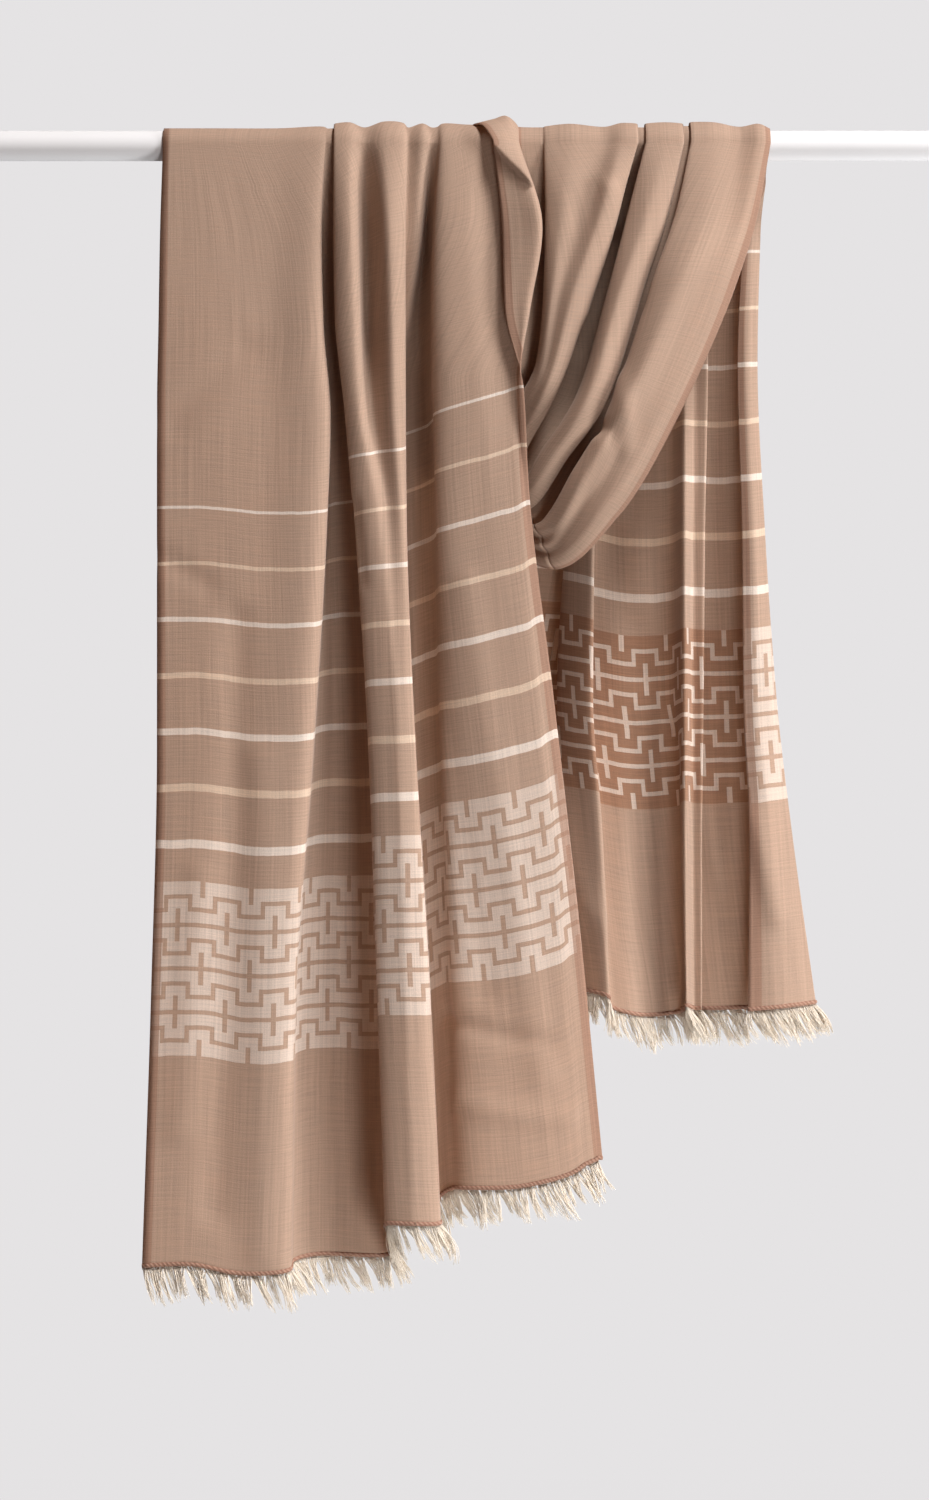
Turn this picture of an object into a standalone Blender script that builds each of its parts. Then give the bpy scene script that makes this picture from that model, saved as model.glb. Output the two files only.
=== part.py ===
"""A merino shawl hung over a plain round rail.

One long rectangle of cloth: its first end hangs in front of the rail at the left, the middle
loops down behind the rail and comes forward as a swag at the right, and its second end hangs
behind the rail, with one long edge turned over. Both ends have a rolled hem and a fringe.

Sizes in the tables are millimetres. X runs along the rail, Y away from the viewer, Z up, and
the origin is on the rail's axis at half its length.
"""

import bmesh
import bpy
import numpy as np
from mathutils import Matrix

MM = 0.001
TINY = 1e-6
SHARP_ANGLE = np.radians(50)

WOOL_TAN = (0.42, 0.27, 0.19)
WOOL_CREAM = (0.75, 0.62, 0.52)
RAIL_WHITE = (0.84, 0.84, 0.84)
CLOTH_ROUGHNESS = 0.9
FRINGE_ROUGHNESS = 0.95
PAINT_ROUGHNESS = 0.35

RAIL_DIAMETER = 20.0
RAIL_LENGTH = 660.0
RAIL_SIDES = 48

CLOTH_WALL = 1.2
CLOTH_CLEARANCE = 0.6
SEAM_GAP = 0.3
WRAP_RADIUS = RAIL_DIAMETER / 2 + CLOTH_CLEARANCE + CLOTH_WALL / 2

# Each end has a rolled hem, and the fringe's strands grow from it. How far a strand leans along
# the rail, as a share of its length, goes from the first value at the cloth's left edge, seen
# from the front, to the second at its right edge. A strand bends at its waist, which is this
# share of the way to its tip along the rail, away from the viewer and down.
HEM_HEIGHT = 3.0
HEM_WALL = 1.8
HEM_GAP = 0.5
STRAND_LENGTH = 23.0
STRAND_UNEVENNESS = 2.5
STRAND_SHARE = 0.55
STRAND_TAPER = 0.6
STRAND_WAIST = (0.35, 1, 0.5)
LEAN_UNEVENNESS = 0.05
FRONT_STRANDS = 64
FRONT_LEAN = (0.25, 0.5)
BACK_STRANDS = 48
BACK_LEAN = (0.1, 0.6)
FRONT_SEED = 7
BACK_SEED = 8

# The elevations below are drawn as seen from this far in front of the rail, at this height.
VIEW_DISTANCE = 2400.0
VIEW_HEIGHT = -403.0

SEAM_ANGLE = 150.0
WRAP_STEPS = 10
CLOTH_STEPS = 2
FRONT_LEVELS = (
    1.0, 0.94, 0.85, 0.76, 0.65, 0.54, 0.44, 0.34, 0.29, 0.24, 0.22, 0.19, 0.16, 0.12, 0.08, 0.04,
    0.0,
)
# Places along the loop: from 0, level with the rail at the right, to 11, level with it behind.
FOOT_LEVEL = 5.0
SEAM_LEVEL = 10.0
LOOP_LEVELS = (
    0.0, 0.3, 0.6, 1.0, 1.4, 1.8, 2.2, 2.6, 3.0, 3.4, 3.8, 4.2, 4.6, FOOT_LEVEL,
    5.4, 5.8, 6.2, 6.6, 7.0, 7.5, 8.0, 8.5, 9.0, 9.5, SEAM_LEVEL, 10.5,
)
RISING_LEVELS = (9.5, SEAM_LEVEL, 10.2, 10.4, 10.6, 10.8, 11.0)
BACK_LEVELS = (0.0, 0.02, 0.04, 0.07, 0.1, 0.17, 0.25, 0.35, 0.45, 0.55, 0.65, 0.72, 0.8, 0.9, 1.0)

# Each fold of the first end, from its left edge to its right edge. "flat" is its place across
# the flat cloth, and "drop" is how far below the rail's axis it ends. "across" is its place
# along the rail and "out" how far it stands out in front, both at the shares of the drop in
# FALL_SHARES.
FALL_SHARES = (0.0, 0.08, 0.16, 0.24, 0.34, 0.54, 0.76, 1.0)
FRONT_FOLDS = (
    # name, flat, drop, across, out
    ("left edge", 0, 748, (-201, -203, -204, -205, -205, -205, -209, -215), (0, 0, 0, 0, 1, 3, 5, 6)),
    ("panel a", 37, 747, (-164, -166, -168, -170, -171, -173, -178, -182), (0, 1, 3, 4, 5, 8, 9, 9)),
    ("panel b", 76, 753, (-125, -127, -130, -132, -135, -138, -145, -150), (0, 2, 4, 6, 9, 12, 13, 12)),
    ("crease", 113, 751, (-92, -92, -91, -91, -95, -104, -115, -118), (1, 4, 7, 9, 12, 17, 19, 17)),
    ("crease foot", 120, 744, (-89, -88, -86, -83, -88, -97, -108, -110), (0, 0, -1, -3, 0, 5, 7, 8)),
    ("valley wall", 132, 740, (-84, -82, -78, -75, -78, -83, -88, -90), (0, -4, -8, -12, -13, -18, -20, -14)),
    ("valley", 155, 740, (-80, -75, -68, -60, -56, -53, -51, -50), (0, -8, -14, -21, -28, -46, -50, -40)),
    ("return", 185, 728, (-81, -79, -74, -66, -60, -56, -52, -50), (2.6, -1, -5, -9, -10, -16, -16, -12)),
    ("pleat left", 205, 720, (-87, -87, -86, -80, -74, -64, -58, -52), (5, 6, 7, 8, 8, 9, 10, 10)),
    ("pleat crest", 217, 720, (-79, -78, -76, -71, -59, -48, -43, -38), (7, 10, 12, 13, 14, 16, 17, 16)),
    ("dart", 230, 720, (-67, -66, -64, -61, -50, -41, -36, -30), (2, -1, 3, 11, 14, 16, 17, 16)),
    ("second crest", 244, 720, (-52, -49, -47, -47, -43, -36, -27, -20), (7, 9, 11, 13, 13, 15, 16, 15)),
    ("pleat right", 257, 719, (-41, -40, -40, -40, -39, -34, -24, -16), (3.5, 4, 5, 6, 7, 9, 10, 10)),
    ("gap wall", 268, 712, (-37, -38, -39, -40, -40, -40, -32, -21), (0.6, 0, -6, -11, -16, -16, -12, -8)),
    ("third pleat", 282, 708, (-28, -32, -39, -44, -42, -38, -30, -22), (3.2, -2, -9, -17, -23, -23, -19, -18)),
    ("gap", 296, 702, (-22, -26, -31, -32, -33, -31, -24, -17), (0.6, -9, -18, -25, -28, -27, -21, -22)),
    ("gap return", 310, 696, (-18, -22, -23, -24, -23, -19, -14, -9), (1, -6, -11, -15, -17, -15, -12, -12)),
    ("right panel edge", 325, 696, (-15, -19, -20, -19, -18, -14, -6, 1), (3, 3, 2, 1, 1, 0, 0, -1)),
    ("right panel", 350, 695, (1, 0, 2, 7, 12, 21, 30, 37), (3.5, 6, 7, 8, 9, 9, 8, 7)),
    ("under the flap", 376, 686, (17, 18, 20, 26, 33, 47, 62, 72), (2, 4, 6, 7.5, 10, 11, 10, 8)),
    ("flap root", 400, 680, (25, 40, 34, 31, 37, 52, 68, 81), (1.5, 5, 5.5, 8, 10, 10, 9, 7)),
    ("flap fold", 425, 677, (33, 51, 43, 35.5, 40, 56, 73, 88), (4, 9, 9, 9, 9, 9, 8, 6)),
    ("flap edge", 460, 676, (14, 14, 22, 40.5, 43, 59, 76, 92), (8, 13.5, 15, 11.5, 8.5, 8, 7, 5)),
)

# Each fold of the swag, from the long edge that hangs lowest to the other long edge. The six
# places of "across", "height" and "out" run from the rail down to the foot of the loop.
SWAG_FOLDS = (
    # name, flat, across, height, out
    ("lower edge", 0, (204, 195, 180, 146, 104, 60), (0, -47, -95, -173, -245, -282), (0, 4, 10, 12, 8, -6)),
    ("rim", 16, (197, 188, 172, 138, 96, 56), (0, -45, -91, -168, -238, -274), (3, 9, 16, 19, 16, -4)),
    ("dent", 40, (184, 178, 160, 127, 85, 53), (0, -45, -89, -163, -232, -267), (1, 10, 20, 22, 12, -4)),
    ("wide crest", 70, (167, 160, 144, 114, 82, 50), (0, -44, -89, -159, -216, -259), (4, 14, 26, 28, 20, -3)),
    ("wide edge", 96, (154, 145, 129, 103, 77, 47), (0, -44, -91, -169, -214, -252), (4, 10, 18, 18, 12, -5)),
    ("second gap", 130, (149, 139, 123, 98, 73, 44), (0, -44, -94, -172, -211, -246), (0.6, -10, -16, -14, -10, -8)),
    ("tube right", 160, (143, 133, 117, 92, 68, 41), (0, -44, -93, -170, -206, -241), (3, 6, 12, 14, 8, -6)),
    ("tube crest", 185, (134, 122, 104, 83, 60, 37), (0, -45, -96, -166, -205, -236), (5, 14, 22, 24, 14, -4)),
    ("tube left", 208, (124, 112, 93, 74, 52, 33), (0, -45, -99, -166, -204, -232), (3, 6, 10, 10, 4, -7)),
    ("first gap", 245, (119, 106, 87, 69, 48, 29), (0, -45, -102, -161, -199, -228), (0.6, -14, -20, -18, -12, -11)),
    ("broad right", 280, (113, 101, 81, 63, 44, 25), (0, -41, -103, -156, -193, -223), (3, 6, 10, 10, 1, -9)),
    ("broad crest", 300, (105, 93, 73, 58, 41, 21), (0, -41, -100, -153, -189, -219), (5, 14, 18, 16, 4, -8)),
    ("soft trough", 325, (94, 83, 65, 54, 37, 17), (0, -40, -97, -149, -185, -215), (1, 8, 14, 13, 1, -9)),
    ("left crest", 365, (70, 65, 58, 51, 33, 13), (0, -40, -96, -147, -181, -211), (3, 10, 14, 12, -1, -10)),
    ("left side", 400, (53, 54, 53, 48, 29, 9), (0, -40, -95, -144, -178, -207), (1, 4, 6, 4, -4, -12)),
    ("inner gap", 425, (45, 47, 48, 44, 25, 5), (0, -40, -93, -143, -175, -203), (0.6, -5, -8, -8, -10, -14)),
    ("inner edge", 460, (34, 38, 42, 39, 20, 1), (0, -40, -93, -144, -171, -199), (1, -3, 0, 1, -6, -14)),
)

# The loop behind the rail, from the foot of the loop up to the rail: how much of the way along
# and of the way up each place has gone, how far it hangs behind the rail's back, and how much
# of the swag's folds it keeps.
LOOP_PLACES = (
    # along, up, behind, folds
    (0.22, 0.14, 20, 0.0),
    (0.48, 0.31, 30, 0.05),
    (0.70, 0.49, 29, 0.3),
    (0.84, 0.68, 22, 0.25),
    (0.93, 0.84, 11, 0.0),
)
FOLD_PLACE = 3
FOLD_DEPTH = 8
BACK_OPENING = 0.65
# Where the loop's folds have been spread out evenly behind the rail: across the flat cloth, and
# along the rail.
LOOP_SPREAD = ((0, 155, 257, 460), (-201, -84, -40, 28))

# Each fold of the second end, from the edge that is turned over to the one behind the first
# end. "behind" is how far it stands behind the rail's back. Both "across" and "behind" are at
# the shares of the drop in BACK_SHARES.
BACK_SHARES = (0.04, 0.1, 0.25, 0.45, 0.65, 0.8, 1.0)
BACK_FOLDS = (
    # name, flat, drop, across, behind
    ("turned edge", 0, 577, (200, 187, 182, 185, 186, 190, 189), (0, 1, 3, 4, 5, 6, 8)),
    ("turned strip", 7, 575, (200.5, 192, 189, 193, 197, 204, 212), (2.5, 0.5, 1, 2, 3, 4, 7)),
    ("outer fold", 14, 572, (199.5, 197, 195, 200, 208, 218, 234), (5.5, 4.5, 8, 11, 14, 16, 18)),
    ("behind strip", 24, 574, (192, 190, 187, 191, 196, 203, 212), (8, 10, 17, 23, 28, 30, 31)),
    ("recess", 50, 576, (176, 172, 172, 172, 172, 170, 170), (7, 12, 21, 29, 35, 38, 38)),
    ("recess end", 76, 576, (162, 157, 153, 149, 147, 146, 145), (8, 12, 20, 29, 36, 39, 38)),
    ("narrow pleat", 98, 576, (157, 162, 162, 160, 159, 158, 158), (3.5, 5, 8, 12, 16, 18, 20)),
    ("slot", 110, 576, (153, 154, 153, 152, 152, 152, 153), (4.5, 7, 10, 14, 18, 20, 22)),
    ("panel edge", 122, 574, (150, 150, 147, 147, 147, 147, 148), (1, 1, 2, 4, 6, 8, 10)),
    ("panel hollow", 160, 581, (138, 130, 124, 120, 117, 120, 130), (4.5, 6, 12, 19, 26, 30, 27)),
    ("panel crease", 200, 568, (115, 97, 89, 85, 84, 90, 95), (4, 4, 7, 9, 9, 9, 12)),
    ("curved side", 240, 562, (104, 80, 74, 68, 62, 64, 77), (5, 9, 16, 24, 28, 24, 22)),
    ("hidden valley", 290, 556, (93, 69, 67, 62, 49, 46, 56), (9, 14, 26, 36, 42, 42, 42)),
    ("hidden crest", 340, 553, (77, 62, 61, 56, 38, 30, 40), (4, 6, 10, 13, 16, 16, 16)),
    ("hidden dip", 400, 550, (54, 55, 54, 50, 26, 14, 26), (6, 12, 24, 34, 38, 40, 40)),
    ("hidden edge", 460, 548, (40, 48, 47, 44, 16, 1, 12), (3, 6, 12, 16, 18, 20, 22)),
)


def smooth(places, values, at):
    """Reads a smooth line through values at places, which never swings past its points."""
    places, values, at = (np.asarray(x, dtype=float) for x in (places, values, at))
    run, rise = np.diff(places), np.diff(values)
    slope = rise / run
    tangent = np.zeros(len(places))
    tangent[0], tangent[-1] = slope[0], slope[-1]
    same_way = slope[:-1] * slope[1:] > 0
    before, after = slope[:-1][same_way], slope[1:][same_way]
    tangent[1:-1][same_way] = 2 * before * after / (before + after)
    span = np.clip(np.searchsorted(places, at, side="right") - 1, 0, len(run) - 1)
    share = (at - places[span]) / run[span]
    return (
        values[span] * (1 + 2 * share) * (1 - share) ** 2
        + values[span + 1] * share**2 * (3 - 2 * share)
        + run[span] * tangent[span] * share * (1 - share) ** 2
        - run[span] * tangent[span + 1] * share**2 * (1 - share)
    )


def through(points, at):
    """Reads a rounded curve through points at places such as 2.5, half way past the third."""
    points = np.asarray(points, dtype=float)
    ends = [2 * points[0] - points[1]], [2 * points[-1] - points[-2]]
    p = np.concatenate([ends[0], points, ends[1]])
    span = np.clip(np.floor(at).astype(int), 0, len(points) - 2)
    a, b, c, d = (p[span + k] for k in range(4))
    step = [np.sqrt(np.linalg.norm(y - x, axis=1)) + TINY for x, y in ((a, b), (b, c), (c, d))]
    t1, t2, t3 = step[0], step[0] + step[1], step[0] + step[1] + step[2]
    t = t1 + (at - span) * step[1]

    def between(x, y, low, high):
        return ((x.T * (high - t) + y.T * (t - low)) / (high - low)).T

    ab, bc, cd = between(a, b, 0, t1), between(b, c, t1, t2), between(c, d, t2, t3)
    abc, bcd = between(ab, bc, 0, t2), between(bc, cd, t1, t3)
    return between(abc, bcd, t1, t2)


def columns(folds, steps):
    """Places across the flat cloth, with the same number of steps from each fold to the next."""
    count = len(folds)
    at = np.linspace(0, count - 1, (count - 1) * steps + 1)
    return np.interp(at, np.arange(count), [fold[1] for fold in folds])


def fold_places(folds, flat):
    """Where places across the flat cloth lie in a table of folds, such as 2.5."""
    return np.interp(flat, [fold[1] for fold in folds], np.arange(len(folds)))


def as_seen(across, height, depth):
    """Puts points of the front elevation at their depth, along the viewer's lines of sight."""
    near = 1 + depth / VIEW_DISTANCE
    return np.stack([across * near, depth, VIEW_HEIGHT + (height - VIEW_HEIGHT) * near], axis=-1)


def level_with_rail(points):
    """Puts the points of a row level with the rail's axis."""
    return points * (1, 1, 0)


def wrapped(row, turn):
    """Carries a row at the front of the rail over it, by a turn in degrees."""
    angle = np.radians(turn)
    return np.stack([row[:, 0], row[:, 1] * np.cos(angle), -row[:, 1] * np.sin(angle)], axis=1)


def loft(stations, sections, levels):
    """Reads rows smoothly between sections that have matching points."""
    sections = np.asarray(sections)
    rows = np.empty((len(levels), *sections.shape[1:]))
    for j in range(sections.shape[1]):
        for k in range(3):
            rows[:, j, k] = smooth(stations, sections[:, j, k], levels)
    return rows


def fall_sections(flat):
    """The sections of the first end, from the rail to the hem."""
    at = fold_places(FRONT_FOLDS, flat)
    drop = np.array([fold[2] for fold in FRONT_FOLDS], dtype=float)
    sections = []
    for place, share in enumerate(FALL_SHARES):
        across = np.array([fold[3][place] for fold in FRONT_FOLDS], dtype=float)
        out = np.array([fold[4][place] for fold in FRONT_FOLDS], dtype=float)
        sections.append(through(as_seen(across, -share * drop, -WRAP_RADIUS - out), at))
    sections[0] = level_with_rail(sections[0])
    return sections


def swag_sections(flat):
    """The sections of the swag, from the rail to the foot of the loop."""
    at = fold_places(SWAG_FOLDS, flat)
    sections = []
    for place in range(len(SWAG_FOLDS[0][2])):
        across, height, out = (
            np.array([fold[column][place] for fold in SWAG_FOLDS], dtype=float) for column in (2, 3, 4)
        )
        sections.append(through(as_seen(across, height, -WRAP_RADIUS - out), at))
    sections[0] = level_with_rail(sections[0])
    return sections


def loop_sections(flat):
    """The sections of the whole loop, from the rail's front at the right round to its back."""
    front = swag_sections(flat)
    rail_back = wrapped(opened(fall_sections(flat)[0], flat), 180)
    foot = front[-1]
    even = np.interp(flat, *LOOP_SPREAD)
    folds = -front[FOLD_PLACE][:, 1] - WRAP_RADIUS
    behind = []
    for along, up, depth, kept in LOOP_PLACES:
        row = np.empty_like(foot)
        row[:, 0] = foot[:, 0] + along * (even - foot[:, 0])
        row[:, 1] = WRAP_RADIUS + depth + kept * (folds - FOLD_DEPTH)
        row[:, 2] = foot[:, 2] * (1 - up)
        behind.append(row)
    return front + behind + [rail_back]


def back_sections(flat):
    """The sections of the second end, from the rail's back to the hem."""
    at = fold_places(BACK_FOLDS, flat)
    drop = np.array([fold[2] for fold in BACK_FOLDS], dtype=float)
    sections = [wrapped(swag_sections(flat)[0], 180)]
    for place, share in enumerate(BACK_SHARES):
        across = np.array([fold[3][place] for fold in BACK_FOLDS], dtype=float)
        behind = np.array([fold[4][place] for fold in BACK_FOLDS], dtype=float)
        sections.append(through(as_seen(across, -share * drop, WRAP_RADIUS + behind), at))
    return sections


def opened(top, flat):
    """A section at the rail with its folds partly opened, as they lie behind the rail."""
    spread = np.interp(flat, *LOOP_SPREAD)
    even = np.stack([spread, np.full(len(flat), -WRAP_RADIUS), 0 * flat], axis=1)
    return top + (even - top) * BACK_OPENING


def over_the_rail(front, back, first, last):
    """Rows over the rail between two turns, in degrees from its front.

    The section changes from that at the front to that at the back past the rail's top.
    """
    rows = []
    for turn in np.linspace(first, last, WRAP_STEPS):
        past_top = max(0, turn / 90 - 1)
        rows.append(wrapped(front + (back - front) * past_top, turn))
    return rows


def rising_rows(flat):
    """The last rows of the loop, which rise behind the rail to its back, level with its axis."""
    sections = loop_sections(flat)
    return loft(np.arange(len(sections)), sections, RISING_LEVELS)


def front_fall_rows():
    """The first end, from its hem up to the rail, over it and down behind it to the seam.

    Also gives the row at the seam.
    """
    flat = columns(FRONT_FOLDS, CLOTH_STEPS)
    sections = fall_sections(flat)
    falling = loft(FALL_SHARES, sections, FRONT_LEVELS)
    over = over_the_rail(sections[0], opened(sections[0], flat), 0, 180)
    rising = rising_rows(flat)[::-1]
    rows = np.array([*falling[:-1], *over, *rising[1:]])
    return rows, len(rows) - 1 - RISING_LEVELS.index(SEAM_LEVEL)


def loop_rows():
    """The loop, from the rail's back at the right, over it, down and up to its back at the left.

    Also gives the rows at the foot of the loop, where the swag ends, and at the seam.
    """
    flat = columns(SWAG_FOLDS, CLOTH_STEPS)
    sections = loop_sections(flat)
    hanging = loft(np.arange(len(sections)), sections, LOOP_LEVELS)
    over = over_the_rail(sections[0], sections[0], SEAM_ANGLE, 0)
    rows = np.array([*over[:-1], *hanging])
    first = len(over) - 1
    return rows, first + LOOP_LEVELS.index(FOOT_LEVEL), first + LOOP_LEVELS.index(SEAM_LEVEL)


def back_fall_rows():
    """The second end, from the seam behind the rail to its hem."""
    sections = back_sections(columns(BACK_FOLDS, CLOTH_STEPS))
    top = wrapped(sections[0], 180)
    over = over_the_rail(top, top, SEAM_ANGLE, 180)
    return np.array([*over[:-1], *loft((0.0, *BACK_SHARES), sections, BACK_LEVELS)])


def drawn_in(rows, first, last):
    """Shortens the rows of a cloth at its first and last row, by lengths along it."""
    rows = rows.copy()
    for end, inner, length in ((0, 1, first), (-1, -2, last)):
        way = rows[inner] - rows[end]
        rows[end] += way / np.linalg.norm(way, axis=1, keepdims=True) * length
    return rows


def directions(rows, axis):
    """The direction of the lines of points at each point, half way between its two sides."""
    steps = np.diff(rows, axis=axis)
    steps /= np.linalg.norm(steps, axis=2, keepdims=True)
    before = np.concatenate([np.take(steps, [0], axis), steps], axis)
    after = np.concatenate([steps, np.take(steps, [-1], axis)], axis)
    return before + after


def wall(rows, thickness, stretch=slice(None), first=SEAM_GAP / 2, last=SEAM_GAP / 2):
    """A closed wall about a stretch of the rows of a cloth, with its ends drawn in, as a mesh."""
    normal = np.cross(directions(rows, 1), directions(rows, 0))[stretch]
    normal /= np.linalg.norm(normal, axis=2, keepdims=True)
    half = normal * thickness / 2
    middle = drawn_in(rows[stretch], first, last)
    count, width = middle.shape[:2]
    shape = bmesh.new()
    sides = middle + half, middle - half
    verts = [[[shape.verts.new(p * MM) for p in row] for row in side] for side in sides]
    for side in verts:
        for i in range(count - 1):
            for j in range(width - 1):
                shape.faces.new((side[i][j], side[i][j + 1], side[i + 1][j + 1], side[i + 1][j]))
    rims = [(i, 0) for i in range(count)]
    rims += [(count - 1, j) for j in range(1, width)]
    rims += [(i, width - 1) for i in range(count - 2, -1, -1)]
    rims += [(0, j) for j in range(width - 2, 0, -1)]
    for (i, j), (k, m) in zip(rims, rims[1:] + rims[:1]):
        shape.faces.new((verts[0][i][j], verts[0][k][m], verts[1][k][m], verts[1][i][j]))
    bmesh.ops.recalc_face_normals(shape, faces=shape.faces)
    return shape


def fringe(hem, above, count, lean, seed):
    """A rolled hem along a line of points, with strands hanging from it, as a mesh.

    The line above the hem gives the direction in which the hem stands up.
    """
    steps = np.linalg.norm(np.diff(hem, axis=0), axis=1)
    hem_length = np.concatenate([[0], np.cumsum(steps)])
    pitch = hem_length[-1] / count
    half_root = pitch * STRAND_SHARE / 2
    middles = pitch * (np.arange(count) + 0.5)
    roots = middles - half_root, middles + half_root
    places = np.sort(np.concatenate([[0], *roots, [hem_length[-1]]]))
    low, up = (
        np.stack([np.interp(places, hem_length, line[:, k]) for k in range(3)], axis=1)
        for line in (hem, above - hem)
    )
    up /= np.linalg.norm(up, axis=1, keepdims=True)
    out = np.cross(directions(low[None], 1)[0], up)
    out *= HEM_WALL / 2 / np.linalg.norm(out, axis=1, keepdims=True)
    high = low + up * HEM_HEIGHT
    shape = bmesh.new()
    sides = low + out, high + out, high - out, low - out
    rings = list(zip(*([shape.verts.new(p * MM) for p in side] for side in sides)))
    for i, (ring, after) in enumerate(zip(rings, rings[1:])):
        for k in range(3):
            shape.faces.new((ring[k], ring[k + 1], after[k + 1], after[k]))
        if i % 2 == 0:
            shape.faces.new((ring[3], ring[0], after[0], after[3]))
    shape.faces.new(rings[0])
    shape.faces.new(rings[-1])
    chance = np.random.default_rng(seed)
    leftmost, rightmost = low[:, 0].min(), low[:, 0].max()
    for i in range(1, 2 * count, 2):
        root = [rings[i][0], rings[i + 1][0], rings[i + 1][3], rings[i][3]]
        centre = (low[i] + low[i + 1]) / 2
        leaning = np.interp(centre[0], (leftmost, rightmost), lean)
        leaning += chance.uniform(-LEAN_UNEVENNESS, LEAN_UNEVENNESS)
        length = STRAND_LENGTH + chance.uniform(-STRAND_UNEVENNESS, STRAND_UNEVENNESS)
        tip = centre + length * np.array([leaning, 0, -1])
        waist = centre + (tip - centre) * STRAND_WAIST
        corners = [waist + STRAND_TAPER * (np.array(v.co) / MM - centre) for v in root]
        ring = [shape.verts.new(corner * MM) for corner in corners]
        end = shape.verts.new(tip * MM)
        for k in range(4):
            shape.faces.new((root[k], root[k - 1], ring[k - 1], ring[k]))
            shape.faces.new((ring[k], ring[k - 1], end))
    bmesh.ops.recalc_face_normals(shape, faces=shape.faces)
    return shape


def rail():
    """The plain round rail, with flat ends, as a mesh."""
    shape = bmesh.new()
    turned = Matrix.Rotation(np.pi / 2, 4, "Y")
    radius = RAIL_DIAMETER / 2 * MM
    bmesh.ops.create_cone(
        shape,
        cap_ends=True,
        segments=RAIL_SIDES,
        radius1=radius,
        radius2=radius,
        depth=RAIL_LENGTH * MM,
        matrix=turned,
    )
    return shape


def add(name, shape, colour, roughness):
    """Puts a shape in the scene as one named object with a material of its own."""
    mesh = bpy.data.meshes.new(name)
    shape.to_mesh(mesh)
    shape.free()
    mesh.shade_smooth()
    mesh.set_sharp_from_angle(angle=SHARP_ANGLE)
    finish = bpy.data.materials.new(name + "_finish")
    finish.use_nodes = True
    surface = finish.node_tree.nodes["Principled BSDF"]
    surface.inputs["Base Color"].default_value = (*colour, 1.0)
    surface.inputs["Roughness"].default_value = roughness
    surface.inputs["Metallic"].default_value = 0.0
    mesh.materials.append(finish)
    piece = bpy.data.objects.new(name, mesh)
    bpy.context.scene.collection.objects.link(piece)


def main():
    for old in list(bpy.data.objects):
        bpy.data.objects.remove(old)
    add("rail", rail(), RAIL_WHITE, PAINT_ROUGHNESS)

    fall, seam = front_fall_rows()
    front = wall(fall, CLOTH_WALL, slice(None, seam + 1), first=HEM_HEIGHT + HEM_GAP)
    add("front_fall", front, WOOL_TAN, CLOTH_ROUGHNESS)
    strands = fringe(fall[0], fall[1], FRONT_STRANDS, FRONT_LEAN, FRONT_SEED)
    add("fringe_front", strands, WOOL_CREAM, FRINGE_ROUGHNESS)

    loop, foot, seam = loop_rows()
    add("swag", wall(loop, CLOTH_WALL, slice(None, foot + 1)), WOOL_TAN, CLOTH_ROUGHNESS)
    add("loop_back", wall(loop, CLOTH_WALL, slice(foot, seam + 1)), WOOL_TAN, CLOTH_ROUGHNESS)

    back = back_fall_rows()
    behind = wall(back, CLOTH_WALL, last=HEM_HEIGHT + HEM_GAP)
    add("back_fall", behind, WOOL_TAN, CLOTH_ROUGHNESS)
    strands = fringe(back[-1], back[-2], BACK_STRANDS, BACK_LEAN, BACK_SEED)
    add("fringe_back", strands, WOOL_CREAM, FRINGE_ROUGHNESS)


main()
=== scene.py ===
"""A merino shawl hung over a plain white rail: fine cloth shells, fringes and finishes.

Sizes in the tables are millimetres. X runs along the rail, Y away from the viewer, Z up, and
the origin is on the rail's axis at half its length. The places across the cloth and up from its
ends are kept in a UV map in metres, so that stripes and weave follow the cloth through its folds.
"""

from operator import itemgetter

import bpy
import numpy as np
from bpy.props import FloatProperty, FloatVectorProperty, IntProperty, PointerProperty
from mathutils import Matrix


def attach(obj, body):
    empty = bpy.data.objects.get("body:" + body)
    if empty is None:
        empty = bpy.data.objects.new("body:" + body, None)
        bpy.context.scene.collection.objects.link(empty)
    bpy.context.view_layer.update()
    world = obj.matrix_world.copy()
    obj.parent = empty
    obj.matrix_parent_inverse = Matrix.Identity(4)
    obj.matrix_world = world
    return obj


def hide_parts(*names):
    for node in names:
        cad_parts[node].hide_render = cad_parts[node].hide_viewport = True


bl_info = {
    "name": "Hung merino shawl",
    "version": (1, 0, 0),
    "blender": (4, 5, 0),
    "location": "3D View > Sidebar > Shawl",
    "description": "Adds a fringed merino shawl that hangs in folds over a plain rail",
    "category": "Add Mesh",
}

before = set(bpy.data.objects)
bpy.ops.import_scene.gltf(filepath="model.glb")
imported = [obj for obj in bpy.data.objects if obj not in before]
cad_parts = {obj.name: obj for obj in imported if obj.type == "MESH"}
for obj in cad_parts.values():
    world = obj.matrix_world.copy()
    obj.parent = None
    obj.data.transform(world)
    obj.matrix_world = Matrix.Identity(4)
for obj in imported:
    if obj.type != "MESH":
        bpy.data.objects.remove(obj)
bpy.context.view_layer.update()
BODY = "root"
MM = 0.001
FLAT_MAP = "flat cloth"

CLOTH_WIDTH = 460.0
# From the rail's axis to the middle of the cloth that lies on it.
WRAP_RADIUS = 11.2
# Kept out of divisions by nothing.
TINY = 1e-9
SAME_PLACE = 1e-6

# The elevations below are drawn as seen from this far in front of the rail, at this height. The
# view takes in this much of the rail's plane from top to bottom.
VIEW_DISTANCE = 2400.0
VIEW_HEIGHT = -402.7
VIEW_FIELD = 1000.0
SENSOR_HEIGHT = 36.0

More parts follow.
